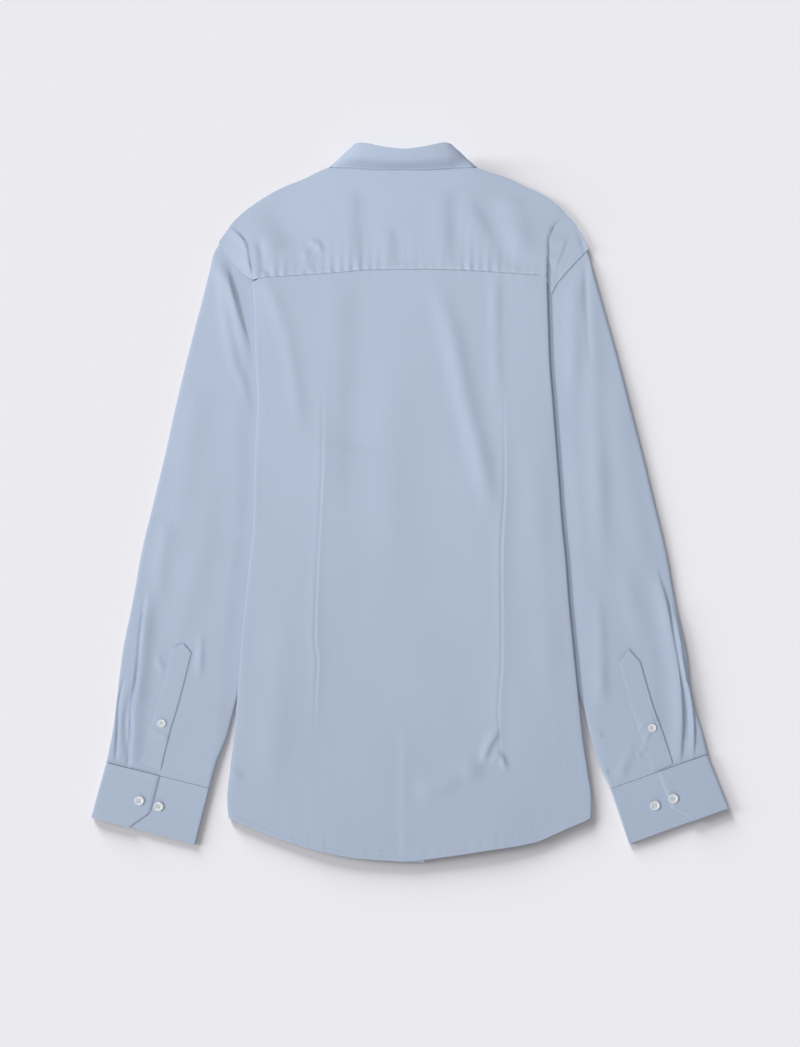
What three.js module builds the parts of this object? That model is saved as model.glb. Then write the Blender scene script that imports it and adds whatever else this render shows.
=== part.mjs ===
// A long sleeve dress shirt laid flat, face down, with its sides turned under.
// Millimetres. +X is to the viewer's right, +Y runs to the collar, +Z is up from the surface under it.
// The origin is on that surface, under the middle of the shirt's outline.
import * as THREE from "three";

// Cloth walls and the pitch of cloth lying on cloth.
const WALL = 1.2;
const SEAM_GAP = 0.3;
const PITCH = WALL + SEAM_GAP;
const ON_FLOOR = WALL / 2;

// Heights of the middle of the cloth.
const SLEEVE_PILE = 3.3;
const SLEEVE_TOP = 2.4;
const BACK_CENTRE = 6.4;
const NECKLINE_HEIGHT = 9.5;
const ARMHOLE_HEIGHT = SLEEVE_TOP + PITCH;
const PLACKET_HEIGHT = 3.3;

// Body lengths along Y.
const YOKE_SIDE_Y = 246;
const HEM_SIDE_Y = -354;
const ARMHOLE_HIDES_Y = 141;
const UNDERARM_Y = 46;
const LEAST_TURN = 4.5;
const UNDERARM_TURN = 83;

// Outer edges of the body where its sides turn under.
const SIDE_FOLDS = [
  { y: 254, left: -177.2, right: 153.3 },
  { y: 204, left: -174.8, right: 155 },
  { y: 159, left: -173.7, right: 156.5 },
  { y: 114, left: -171.5, right: 160 },
  { y: 69, left: -173.7, right: 163.4 },
  { y: 25, left: -174.8, right: 166.8 },
  { y: -20, left: -175.9, right: 170.1 },
  { y: -65, left: -180.4, right: 174.6 },
  { y: -110, left: -184.9, right: 178 },
  { y: -155, left: -189.4, right: 182.4 },
  { y: -222, left: -193.9, right: 189.2 },
  { y: -264, left: -197.2, right: 193.7 },
  { y: -300, left: -201.7, right: 199.3 },
  { y: -334, left: -205.1, right: 203.8 },
  { y: -356, left: -203.4, right: 203.2 },
];

// How far the cloth runs in under the side fold before the side seam.
const SIDE_TURNS = [
  { y: UNDERARM_Y, turn: UNDERARM_TURN },
  { y: -110, turn: 60 },
  { y: HEM_SIDE_Y, turn: 45 },
];

const HEM = [
  { x: -203, y: -354 },
  { x: -181.6, y: -362.9 },
  { x: -160.3, y: -371.8 },
  { x: -134.5, y: -380.8 },
  { x: -104.3, y: -389.8 },
  { x: -56, y: -398.7 },
  { x: -6, y: -401.6 },
  { x: 36, y: -397.2 },
  { x: 84, y: -390 },
  { x: 140, y: -380.6 },
  { x: 161.2, y: -371.8 },
  { x: 181.3, y: -362.9 },
  { x: 203, y: -354 },
];

const YOKE_SEAM = [
  { x: -177, y: 247.5 },
  { x: -163.6, y: 250.3 },
  { x: -141, y: 252 },
  { x: -82, y: 256 },
  { x: -45, y: 259.1 },
  { x: 23, y: 259.7 },
  { x: 58, y: 258.7 },
  { x: 84, y: 257.4 },
  { x: 105, y: 255.9 },
  { x: 128, y: 254.2 },
  { x: 150, y: 252.8 },
  { x: 156.7, y: 250 },
  { x: 163, y: 243 },
];

// The folded shoulder edges and, between them, the back of the neckline.
const SHOULDERS = [
  { x: -214, y: 290 },
  { x: -208.4, y: 298 },
  { x: -195, y: 315.8 },
  { x: -172.6, y: 333.8 },
  { x: -142.4, y: 351.2 },
  { x: -117.7, y: 361 },
  { x: -104.3, y: 367.6 },
  { x: -92, y: 371.5 },
  { x: -80, y: 371 },
  { x: -62, y: 373 },
  { x: -8, y: 376 },
  { x: 46, y: 373 },
  { x: 64, y: 371 },
  { x: 76, y: 371.5 },
  { x: 90.6, y: 367.6 },
  { x: 111.9, y: 360.6 },
  { x: 128.7, y: 352.3 },
  { x: 150, y: 342.2 },
  { x: 172.4, y: 324.8 },
  { x: 186.9, y: 306.9 },
  { x: 198.1, y: 287 },
  { x: 203, y: 270 },
];

// Lengthwise lines of the yoke, from its seam up to the shoulder or neckline.
// top is the cloth's height at the upper end and turn the height of the part that goes on to the front.
// The low lines lie beyond the tuck at the right, and low is the y at which they start, below the seam.
const YOKE_LINES = [
  { from: -177, to: -214, bow: 0, top: 3.9, turn: 0.6 },
  { from: -170, to: -203, bow: 0, top: 3.9, turn: 0.6 },
  { from: -160, to: -188, bow: 0, top: 4.2, turn: 0.6 },
  { from: -140, to: -165, bow: 0, top: 4.8, turn: 0.6 },
  { from: -112, to: -137, bow: 0, top: 5.4, turn: 0.8 },
  { from: -88, to: -112, bow: 0, top: 6, turn: 2.1 },
  { from: -72, to: -97, bow: 0, top: 6.6, turn: 2.1 },
  { from: -62, to: -80, bow: 0, top: 8.6, neck: true },
  { from: -45, to: -58, bow: 0, top: NECKLINE_HEIGHT, neck: true },
  { from: -22, to: -32, bow: 0, top: NECKLINE_HEIGHT, neck: true },
  { from: -2, to: -8, bow: 0, top: NECKLINE_HEIGHT, neck: true },
  { from: 18, to: 16, bow: 0, top: NECKLINE_HEIGHT, neck: true },
  { from: 38, to: 42, bow: 0, top: NECKLINE_HEIGHT, neck: true },
  { from: 54, to: 64, bow: 0, top: 8.6, neck: true },
  { from: 68, to: 81, bow: 0, top: 6.6, turn: 2.1 },
  { from: 84, to: 96, bow: 0, top: 6, turn: 2.1 },
  { from: 106, to: 122, bow: 0, top: 5.4, turn: 0.8 },
  { from: 130, to: 150, bow: -3, top: 5, turn: 0.6 },
  { from: 149, to: 169, bow: -7, top: 4.6, turn: 0.6 },
  { from: 154.4, to: 173, bow: -7, top: 4, turn: 0.6, low: 251 },
  { from: 158, to: 190, bow: 0, top: 3.9, turn: 0.6, low: 234 },
  { from: 163, to: 203, bow: 0, top: 3.9, turn: 0.6, low: 243 },
];
const YOKE_FRONT_TURN = 32;

// Middle line of the front closing, from the collar down to the hem.
const FRONT_TOP_Y = 300;
const FRONT_TOP_X = -8;
const FRONT_HEM_Y = -403;
const PLACKET_WIDTH = 32;

// The front of the neckline, by distance from the middle line.
const FRONT_NECKLINE = [
  { out: 0, y: 298 },
  { out: 20, y: 301 },
  { out: 40, y: 308 },
  { out: 58, y: 320 },
  { out: 70, y: 331 },
];

// One half of the collar from the middle of the back to the front, each column a station along the band.
// n is the neckline edge of the stand, f its top edge, r the leaf's roll over it, m a point on the leaf and
// e the leaf's free edge.
const COLLAR_MIDDLE_X = -8;
const COLLAR = [
  { n: [0, 377.5, 11.5], f: [0, 393.5, 34], r: [0, 395.6, 36.8], m: [0, 382, 29], e: [0, 371.2, 11.2] },
  { n: [15, 377.5, 11.5], f: [15, 394.4, 34.2], r: [15, 396.9, 37], m: [15, 382.4, 29], e: [15, 371, 11.2] },
  { n: [31, 377.3, 11.3], f: [30, 396.8, 34.4], r: [30, 399.4, 37.2], m: [30.5, 384, 29.5], e: [31, 371.2, 11.2] },
  { n: [46, 376.6, 10.8], f: [43.5, 398.8, 33.6], r: [44, 401.7, 36.2], m: [46, 385.5, 29], e: [47, 372, 10.9] },
  { n: [58, 375.8, 10], f: [52, 396, 29], r: [54, 398.6, 31.4], m: [58, 385, 25.4], e: [60, 373, 10.6] },
  { n: [69, 375, 8.8], f: [55, 393.2, 24.6], r: [57.4, 396.9, 28.2], m: [68, 386.6, 18.6], e: [74, 374.8, 10.2] },
  { n: [77, 373.6, 7], f: [56.4, 390, 19.8], r: [58.8, 395.2, 23.4], m: [73.2, 383.4, 13.6], e: [80, 375.4, 7.6] },
  { n: [80.5, 371, 5], f: [57.4, 388, 15], r: [58.8, 393.4, 13.2], m: [75, 382, 7.4], e: [84.4, 374, 2.6] },
  { n: [80.5, 364, 3.4], f: [57, 384, 9.6], r: [54.8, 387.8, 8], m: [69, 374, 3.2], e: [86, 364, 0.7] },
  { n: [78.5, 348, 2.7], f: [54, 368, 6], r: [51.6, 371.8, 3.6], m: [69, 356, 0.7], e: [88, 338, 0.6] },
  { n: [66, 328.4, 2.7], f: [47.5, 352, 4], r: [45, 356, 2], m: [58, 338, 0.6], e: [76, 301, 0.6] },
  { n: [46, 312.4, 2.9], f: [34, 339, 3.5], r: [33, 343, 1.8], m: [43, 308, 0.6], e: [56, 274, 0.6] },
  { n: [22, 302.4, 3.2], f: [17, 331, 3.4], r: [17, 335, 1.8], m: [19, 322, 0.6], e: [23, 314, 0.6] },
];
const STAND_LAP = { n: [-11, 299.4, 3.4], f: [-11, 328.6, 3.4] };

// Sleeves in plan. tip runs up the armhole, under the side fold, and along the yoke to the shoulder.
const SLEEVES = {
  left: {
    side: -1,
    tip: [[-172.5, 204], [-170.6, 230], [-173, 242], [-180.5, 249.5], [-194, 263.5], [-211.5, 287]],
    outer: [
      [-219.6, 280], [-224.1, 262], [-233.1, 226], [-247.6, 170], [-261.1, 114], [-273.4, 58], [-286.8, 2],
      [-300.3, -54], [-310.4, -110], [-321.6, -166], [-328.3, -219.5], [-332.8, -255.4],
    ],
    inner: [[-112, 2], [-135, -54], [-158, -110], [-179, -166], [-196.1, -228.5], [-205.6, -264], [-216.3, -291.2]],
    cuffOuter: [-340, -291],
    cuffInner: [-224.4, -320],
  },
  right: {
    side: 1,
    tip: [[151.5, 204], [148.6, 226], [149.5, 240], [153, 246], [162, 243], [201, 269.5]],
    outer: [
      [205.2, 258], [214.9, 226], [230.6, 170], [245.2, 114], [259.7, 58], [273.2, 2], [286.6, -54],
      [296.7, -110], [309, -166], [315.7, -219.5], [326.9, -255.4],
    ],
    inner: [[98, 2], [121.6, -54], [145, -110], [167, -166], [193.2, -228.5], [202, -264], [210.5, -291.2]],
    cuffOuter: [333.2, -281.8],
    cuffInner: [223.8, -320.6],
  },
};

// Cuffs in plan: the corners at the sleeve seam and at the free edge, outer side first.
const CUFFS = {
  left: {
    seamOuter: [-340.1, -291.8],
    seamInner: [-224.2, -321],
    edgeOuter: [-357, -352.5],
    edgeInner: [-240.4, -383.2],
  },
  right: {
    seamOuter: [333.2, -282.6],
    seamInner: [223.8, -321.5],
    edgeOuter: [357, -341.9],
    edgeInner: [244.6, -382.5],
  },
};
const CUFF = { wall: 1.6, base: 0.8, underlap: 3.2, flap: 5.1, flapReach: 0.45, underlapReach: 0.72, cornerCut: 22 };

// Sleeve plackets: the pointed end, and the middle of the strip where it meets the cuff seam.
const SLEEVE_PLACKETS = {
  left: { point: [-254.5, -159], shoulder: [-256.6, -172], end: [-290.5, -301.5], width: 24 },
  right: { point: [245.5, -165], shoulder: [249, -178], end: [281, -299.5], width: 24 },
};

const CUFF_BUTTON = { radius: 5.4, thick: 2.2 };
const SMALL_BUTTON = { radius: 4.6, thick: 2 };
const FRONT_BUTTON = { radius: 5.2, thick: 2.2 };
const BUTTON_SIDES = 20;
const BUTTON_HOLE = { radius: 0.75, out: 1.5, sides: 6, count: 4 };

// Where the buttons lie, x and y, with the height of the cloth under them.
const BUTTONS = [
  { name: "button_cuff_left_outer", x: -302.5, y: -333.8, on: 5.9, size: CUFF_BUTTON },
  { name: "button_cuff_left_inner", x: -281.3, y: -340.6, on: 4, size: CUFF_BUTTON },
  { name: "button_cuff_right_outer", x: 294.2, y: -331.3, on: 5.9, size: CUFF_BUTTON },
  { name: "button_cuff_right_inner", x: 274, y: -339.4, on: 4, size: CUFF_BUTTON },
];
const PLACKET_BUTTONS = [
  { name: "button_sleeve_left", side: "left", x: -277.5, y: -247.4 },
  { name: "button_sleeve_right", side: "right", x: 270.6, y: -252.4 },
];
const FRONT_BUTTON_YS = [314, 236, 148, 60, -28, -116, -204];

// Soft folds that stand up from the cloth, each from one end to the other.
const BACK_FOLDS = [
  { from: [-99, 112], to: [-104, -160], width: 5, rise: 0.9 },
  { from: [-104, -160], to: [-106, -285], width: 5, rise: 0.8 },
  { from: [105, 112], to: [102, -160], width: 5, rise: 0.9 },
  { from: [102, -160], to: [100, -285], width: 5, rise: 0.8 },
  { from: [-72, 236], to: [-76, 20], width: 16, rise: 0.9 },
  { from: [34, 236], to: [84, 10], width: 16, rise: 0.8 },
  { from: [40, -330], to: [78, -292], width: 12, rise: 0.8 },
];
const SLEEVE_FOLDS = {
  left: [
    { from: [-206, 268], to: [-178, 150], width: 8, rise: 1.8 },
    { from: [-214, 262], to: [-196, 150], width: 10, rise: 1.2 },
    { from: [-298, -140], to: [-308, -276], width: 6, rise: 2 },
    { from: [-272, -20], to: [-281, -120], width: 9, rise: 1 },
  ],
  right: [
    { from: [190, 262], to: [186, 60], width: 9, rise: 1.2 },
    { from: [285, -120], to: [300, -262], width: 6, rise: 2 },
    { from: [298, -140], to: [314, -268], width: 6, rise: 1.6 },
    { from: [212, -110], to: [216, -220], width: 9, rise: 1 },
  ],
};

const CLOTH = { color: 0xb2bed3, roughness: 0.85, metalness: 0 };
const BUTTON_FINISH = { color: 0xeef0f2, roughness: 0.3, metalness: 0 };

const mix = (a, b, t) => a + (b - a) * t;
const clamp = (t) => Math.min(1, Math.max(0, t));

function ease(from, to, at) {
  const t = clamp((at - from) / (to - from));
  return t * t * (3 - 2 * t);
}

// The value of one column of a table at a key, on straight lines between the rows.
function read(table, key, value, at) {
  const rising = table[0][key] < table[table.length - 1][key];
  const rows = rising ? table : [...table].reverse();
  let i = 1;
  while (i < rows.length - 1 && rows[i][key] < at) i += 1;
  const [a, b] = [rows[i - 1], rows[i]];
  return mix(a[value], b[value], clamp((at - a[key]) / (b[key] - a[key])));
}

// The height that soft folds add at a place, each fading out at its ends.
function foldRise(folds, x, y) {
  let sum = 0;
  for (const { from, to, width, rise } of folds) {
    const run = [to[0] - from[0], to[1] - from[1]];
    const length = Math.hypot(...run);
    const t = ((x - from[0]) * run[0] + (y - from[1]) * run[1]) / length ** 2;
    const aside = ((x - from[0]) * run[1] - (y - from[1]) * run[0]) / length;
    sum += rise * Math.exp(-((aside / width) ** 2)) * ease(-0.08, 0.15, t) * ease(1.08, 0.85, t);
  }
  return sum;
}

// A wall of cloth: a grid of points in the middle of the cloth is moved out to both sides by half the wall,
// and closed along each free edge. skip leaves a cell of the grid out, and wraps joins the last column
// to the first.
function clothWall({ columns, rows, at, wall = WALL, wraps = false, skip = () => false }) {
  const middle = [];
  for (let c = 0; c < columns; c += 1) {
    for (let r = 0; r < rows; r += 1) middle.push(new THREE.Vector3(...at(c, r)));
  }
  const node = (c, r) => (c % columns) * rows + r;
  const quads = [];
  for (let c = 0; c < (wraps ? columns : columns - 1); c += 1) {
    for (let r = 0; r < rows - 1; r += 1) {
      if (!skip(c, r)) quads.push([node(c, r), node(c + 1, r), node(c + 1, r + 1), node(c, r + 1)]);
    }
  }
  const normals = middle.map(() => new THREE.Vector3());
  for (const [a, b, c, d] of quads) {
    const across = middle[c].clone().sub(middle[a]);
    const normal = across.cross(middle[d].clone().sub(middle[b])).normalize();
    for (const i of [a, b, c, d]) normals[i].add(normal);
  }
  const count = middle.length;
  const positions = new Float32Array(count * 6);
  middle.forEach((point, i) => {
    const out = normals[i].normalize().multiplyScalar(wall / 2);
    point.clone().add(out).toArray(positions, i * 3);
    point.clone().sub(out).toArray(positions, (count + i) * 3);
  });
  const edges = new Set();
  for (const quad of quads) quad.forEach((a, k) => edges.add(`${a} ${quad[(k + 1) % 4]}`));
  const index = [];
  for (const quad of quads) {
    const [a, b, c, d] = quad;
    index.push(a, b, c, a, c, d);
    index.push(count + a, count + c, count + b, count + a, count + d, count + c);
    quad.forEach((p, k) => {
      const q = quad[(k + 1) % 4];
      if (!edges.has(`${q} ${p}`)) index.push(q, p, count + p, q, count + p, count + q);
    });
  }
  return solid(positions, index);
}

// A geometry of the points that are used, with its faces turned out.
function solid(positions, index) {
  const corner = (i) => new THREE.Vector3().fromArray(positions, i * 3);
  let volume = 0;
  for (let i = 0; i < index.length; i += 3) {
    volume += corner(index[i]).dot(corner(index[i + 1]).cross(corner(index[i + 2])));
  }
  const turned = [...index];
  if (volume < 0) turned.reverse();
  const geometry = new THREE.BufferGeometry();
  geometry.setAttribute("position", new THREE.BufferAttribute(positions, 3));
  geometry.setIndex(turned);
  geometry.computeVertexNormals();
  return geometry;
}

// Body: where its side folds, seams and hem run, and how high its cloth lies.
const foldX = (side, y) => read(SIDE_FOLDS, "y", side < 0 ? "left" : "right", y);
const hemY = (x) => read(HEM, "x", "y", x);
const yokeSeamY = (x) => read(YOKE_SEAM, "x", "y", x);
const pileHeight = (y) => SLEEVE_PILE * ease(-350, -214, y);

function turnIn(y) {
  if (y >= ARMHOLE_HIDES_Y) return LEAST_TURN;
  if (y <= UNDERARM_Y) return read(SIDE_TURNS, "y", "turn", y);
  const t = (ARMHOLE_HIDES_Y - y) / (ARMHOLE_HIDES_Y - UNDERARM_Y);
  return mix(LEAST_TURN, UNDERARM_TURN, 1 - Math.sqrt(1 - t * t));
}

const seamX = (side, y) => foldX(side, y) - side * turnIn(y);

// Distance out past the nearer edge of the turned-in cloth, negative inside it. It looks a little way down
// the body, so that the cloth above is up at its full height before the underarm is reached.
const UNDERARM_LEAD = 18;

function pastSeam(x, y) {
  const lead = y > UNDERARM_Y ? Math.max(y - UNDERARM_LEAD, UNDERARM_Y) : y;
  return Math.max(foldX(-1, y) + turnIn(lead) - x, x - foldX(1, y) + turnIn(lead));
}

function backHeight(x, y) {
  const sides = pileHeight(y) + ON_FLOOR + 3 * PITCH;
  return mix(BACK_CENTRE, sides, ease(-70, -5, pastSeam(x, y))) + foldRise(BACK_FOLDS, x, y);
}

// One side of the turned-in cloth: its round fold, and the part that runs back in under it.
const FOLD_STEPS = 5;
const RETURN_STEPS = 3;
const BACK_FOLD_RADIUS = 1.5 * PITCH;
const FRONT_FOLD_RADIUS = 0.5 * PITCH;

function turnedEdge(side, y, step, radius, inset = 0) {
  const middle = foldX(side, y) - side * (BACK_FOLD_RADIUS + WALL / 2 + inset);
  const centre = pileHeight(y) + ON_FLOOR + BACK_FOLD_RADIUS;
  if (step <= FOLD_STEPS) {
    const angle = Math.PI / 2 - (Math.PI * step) / FOLD_STEPS;
    return [middle + side * radius * Math.cos(angle), y, centre + radius * Math.sin(angle)];
  }
  const t = (step - FOLD_STEPS) / RETURN_STEPS;
  const hemRise = 12 * t * ease(HEM_SIDE_Y + 60, HEM_SIDE_Y, y);
  return [mix(middle, seamX(side, y), t), y + hemRise, centre - radius];
}

function backPanel() {
  const rowShares = [
    0, 0.06, 0.12, 0.175, 0.225, 0.265, 0.295, 0.318, 0.33, 0.3375, 0.39, 0.46, 0.54, 0.62, 0.7, 0.78, 0.85,
    0.91, 0.96, 1,
  ];
  const flatXs = [-112, -103, -94, -76, -56, -30, -8, 14, 36, 62, 80, 94, 102.5, 111];
  const outerShares = [0.35, 0.72];
  const edge = FOLD_STEPS + RETURN_STEPS;
  const list = [];
  for (let s = edge; s >= 0; s -= 1) list.push({ side: -1, step: s });
  for (const share of outerShares) list.push({ side: -1, share });
  for (const x of flatXs) list.push({ x });
  for (const share of [...outerShares].reverse()) list.push({ side: 1, share });
  for (let s = 0; s <= edge; s += 1) list.push({ side: 1, step: s });
  const at = (c, r) => {
    const { side, step, share, x: flatX } = list[c];
    const nominal = mix(YOKE_SIDE_Y, HEM_SIDE_Y, rowShares[r]);
    if (step !== undefined) return turnedEdge(side, nominal, step, BACK_FOLD_RADIUS);
    const rim = side && foldX(side, nominal) - side * (BACK_FOLD_RADIUS + WALL / 2);
    const inner = side < 0 ? flatXs[0] : flatXs[flatXs.length - 1];
    const x = side ? mix(rim, inner, share) : flatX;
    const y = mix(yokeSeamY(x) - SEAM_GAP / 2, hemY(x), rowShares[r]);
    return [x, y, backHeight(x, nominal)];
  };
  return clothWall({ columns: list.length, rows: rowShares.length, at });
}

// Yoke: flat over the back, round over the shoulders and a short way down the front.
function yokePoint(line, share) {
  const bow = line.bow * 4 * share * (1 - share);
  const x = mix(line.from, line.to, share) + bow;
  const low = line.low ?? yokeSeamY(line.from) + SEAM_GAP / 2;
  return [x, mix(low, read(SHOULDERS, "x", "y", line.to), share)];
}

const YOKE_ROWS = [0, 0.16, 0.36, 0.56, 0.78];
const SHOULDER_STEPS = 4;
const TURN_ROWS = 2;

function yokeDirection(line) {
  const [x, y] = yokePoint(line, 1);
  const [dx, dy] = [line.from - x, yokeSeamY(line.from) + SEAM_GAP / 2 - y];
  const length = Math.hypot(dx, dy);
  return [dx / length, dy / length];
}

// The seam where the yoke's front turn meets the fronts.
function yokeFrontEdge(line) {
  const [x, y] = yokePoint(line, 1);
  const [dx, dy] = yokeDirection(line);
  const inward = line === YOKE_LINES[0] ? 5 : line === YOKE_LINES[YOKE_LINES.length - 1] ? -5 : 0;
  return [x + dx * YOKE_FRONT_TURN + inward, y + dy * YOKE_FRONT_TURN];
}

function yoke() {
  const rows = YOKE_ROWS.length + SHOULDER_STEPS + 1 + TURN_ROWS;
  const at = (c, r) => {
    const line = YOKE_LINES[c];
    const armhole = c === 0 || c === YOKE_LINES.length - 1;
    const shoulderRow = r - YOKE_ROWS.length;
    const radius = line.neck ? 0 : (line.top - line.turn) / 2;
    if (shoulderRow < 0) {
      const share = YOKE_ROWS[r];
      const [x, y] = yokePoint(line, share);
      const seam = line.low ? ARMHOLE_HEIGHT + 0.3 : backHeight(x, yokeSeamY(x));
      const height = armhole ? ARMHOLE_HEIGHT : mix(seam, line.top, ease(0, 1, share));
      return [x, y, height];
    }
    const [x, y] = yokePoint(line, 1);
    if (line.neck) return [x, y + Math.min(shoulderRow, 1) * 0.001, line.top];
    const [dx, dy] = yokeDirection(line);
    const reach = radius + WALL / 2;
    const centre = [x + dx * reach, y + dy * reach];
    if (shoulderRow <= SHOULDER_STEPS) {
      const angle = Math.PI / 2 - (Math.PI * shoulderRow) / SHOULDER_STEPS;
      const out = radius * Math.cos(angle);
      return [centre[0] - dx * out, centre[1] - dy * out, line.turn + radius + radius * Math.sin(angle)];
    }
    const t = (shoulderRow - SHOULDER_STEPS) / TURN_ROWS;
    const edge = yokeFrontEdge(line);
    return [mix(centre[0], edge[0], t), mix(centre[1], edge[1], t), line.turn];
  };
  const skip = (c, r) => r >= YOKE_ROWS.length && (YOKE_LINES[c].neck || YOKE_LINES[c + 1].neck);
  return clothWall({ columns: YOKE_LINES.length, rows, at, skip });
}

// Fronts: flat on the surface, up over the turned-in sides and down again under them.
const middleX = (y) => mix(0, FRONT_TOP_X, clamp((y - FRONT_HEM_Y) / (FRONT_TOP_Y - FRONT_HEM_Y)));

// The upper edge of a front, first along the neckline and then along the yoke's front seam.
function frontTopY(side, x) {
  const neckline = FRONT_NECKLINE.map((row) => [FRONT_TOP_X + side * row.out, row.y]);
  const seam = YOKE_LINES.filter((line) => !line.neck && line.from * side > 0).map(yokeFrontEdge);
  const points = [...neckline, ...seam].map(([px, py]) => ({ x: px, y: py }));
  points.sort((a, b) => a.x - b.x);
  return read(points, "x", "y", x) - 2 * SEAM_GAP;
}

const FRONT_SHOULDER_X = { left: -178, right: 162 };
const FRONT_INSET = 2;
const FLAT_STEP = 0.3;

function frontSideX(side, y) {
  const folded = foldX(side, y) - side * (BACK_FOLD_RADIUS + WALL / 2);
  const shoulder = side < 0 ? FRONT_SHOULDER_X.left : FRONT_SHOULDER_X.right;
  return mix(folded - side * 7, shoulder, ease(256, 274, y));
}

function frontHeight(side, x, y, centreHeight) {
  const out = side * (x - middleX(y));
  const atPlacket = mix(ON_FLOOR, centreHeight, ease(52, 22, out));
  const overSleeve = pileHeight(y) + ON_FLOOR + 2 * PITCH;
  const lift = ease(-42, -6, pastSeam(x, y)) * ease(246, 216, y);
  const atSide = mix(ON_FLOOR, overSleeve, lift);
  const overCollar = mix(ON_FLOOR, ON_FLOOR + PITCH, ease(252, 266, y) * ease(118, 96, out));
  return Math.max(atPlacket, atSide, overCollar);
}

function frontPanel(side, edgeOut, centreHeight) {
  const rowShares = [0, 0.05, 0.1, 0.15, 0.2, 0.28, 0.38, 0.5, 0.57, 0.606, 0.62, 0.64, 0.67, 0.71, 0.76, 0.82,
    0.88, 0.94, 1];
  const shares = [0, 0.05, 0.12, 0.2, 0.3, 0.4, 0.5, 0.6, 0.7, 0.8, 0.9];
  const edge = FOLD_STEPS + RETURN_STEPS;
  const topX = (share) => mix(FRONT_TOP_X + side * edgeOut, frontSideX(side, FRONT_TOP_Y), share);
  const at = (c, r) => {
    const flat = c < shares.length;
    const share = flat ? shares[c] : 1;
    const top = frontTopY(side, topX(share) + (flat ? 0 : side * FLAT_STEP * edge));
    const low = mix(hemY(side * 20), HEM_SIDE_Y, share ** 2) + 4;
    const y = mix(low, top, rowShares[r]);
    const sideX = frontSideX(side, y);
    const inner = mix(middleX(y) + side * edgeOut, topX(0), ease(250, 300, y));
    if (flat) {
      const x = mix(inner, sideX, share);
      return [x, y, frontHeight(side, x, y, centreHeight)];
    }
    const step = c - shares.length;
    const folded = ease(214, 186, y);
    const [x, , z] = turnedEdge(side, y, step, FRONT_FOLD_RADIUS, FRONT_INSET);
    const flatX = sideX + side * step * FLAT_STEP;
    const flatZ = frontHeight(side, sideX, y, centreHeight);
    return [mix(flatX, x, folded), y, mix(flatZ, z, folded)];
  };
  return clothWall({ columns: shares.length + edge + 1, rows: rowShares.length, at });
}

function frontPlacket() {
  const ys = [296, 262, 150, 40, -70, -180, -290, FRONT_HEM_Y];
  const outs = [-0.5, -0.25, 0, 0.25, 0.5];
  const at = (c, r) => [middleX(ys[r]) + outs[c] * PLACKET_WIDTH, ys[r], PLACKET_HEIGHT];
  return clothWall({ columns: outs.length, rows: ys.length, at });
}

// Collar: one half of the station table is mirrored to give the band from end to end.
function collarStations(extra) {
  const half = COLLAR.map((row) => ({ ...row }));
  const ends = extra ? [...half, { ...extra }] : half;
  const place = (row, side, lift) => {
    const moved = {};
    for (const key of Object.keys(row)) {
      const [out, y, z] = row[key];
      moved[key] = new THREE.Vector3(COLLAR_MIDDLE_X + side * out, y, z + lift);
    }
    return moved;
  };
  const left = ends.slice(1).reverse().map((row) => place(row, -1, 0));
  const right = ends.map((row, i) => place(row, 1, extra ? PITCH * ease(8, 12, i) : 0));
  return [...left, ...right];
}

function collarStand() {
  const stations = collarStations(STAND_LAP);
  const shares = [0, 0.5, 1];
  const at = (c, r) => stations[c].n.clone().lerp(stations[c].f, shares[r]).toArray();
  return clothWall({ columns: stations.length, rows: shares.length, at });
}

function collarLeaf() {
  const stations = collarStations();
  const shares = [0, 0.1, 0.2, 0.32, 0.5, 0.75, 1];
  const at = (c, r) => {
    const { n, f, r: roll, m, e } = stations[c];
    const before = stations[Math.max(c - 1, 0)].f;
    const after = stations[Math.min(c + 1, stations.length - 1)].f;
    const along = after.clone().sub(before).normalize();
    const up = f.clone().sub(n).normalize();
    const clear = up.addScaledVector(along, -up.dot(along)).normalize();
    const start = f.clone().addScaledVector(clear, 4 * SEAM_GAP);
    const line = new THREE.CatmullRomCurve3([start, roll, m, e], false, "centripetal");
    const [x, y, z] = line.getPointAt(shares[r]).toArray();
    return [x, y, Math.max(z, ON_FLOOR)];
  };
  return clothWall({ columns: stations.length, rows: shares.length, at });
}

// Sleeves: a flattened tube between its rim on the armhole, its two edges and the cuff seam.
function planCurve(points) {
  return new THREE.CatmullRomCurve3(points.map(([x, y]) => new THREE.Vector3(x, y, 0)), false, "centripetal");
}

function sleevePlan(name) {
  const { side, tip, outer, inner, cuffOuter, cuffInner } = SLEEVES[name];
  const underarm = [seamX(side, UNDERARM_Y) + side * 4, UNDERARM_Y];
  const armholeYs = [52, 66, 84, 108, 136, 168];
  const armhole = armholeYs.map((y) => [seamX(side, y), y]);
  const top = planCurve([underarm, ...armhole, ...tip]);
  const outerEdge = planCurve([tip[tip.length - 1], ...outer, cuffOuter]);
  const innerEdge = planCurve([underarm, ...inner, cuffInner]);
  const cuffEdge = planCurve([cuffInner, cuffOuter]);
  return (u, v) => {
    const corners = [
      top.getPointAt(0).multiplyScalar((1 - u) * (1 - v)),
      top.getPointAt(1).multiplyScalar(u * (1 - v)),
      cuffEdge.getPointAt(0).multiplyScalar((1 - u) * v),
      cuffEdge.getPointAt(1).multiplyScalar(u * v),
    ];
    const point = top.getPointAt(u).multiplyScalar(1 - v);
    point.addScaledVector(cuffEdge.getPointAt(u), v);
    point.addScaledVector(innerEdge.getPointAt(v), 1 - u);
    point.addScaledVector(outerEdge.getPointAt(v), u);
    for (const corner of corners) point.sub(corner);
    return point;
  };
}

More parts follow.
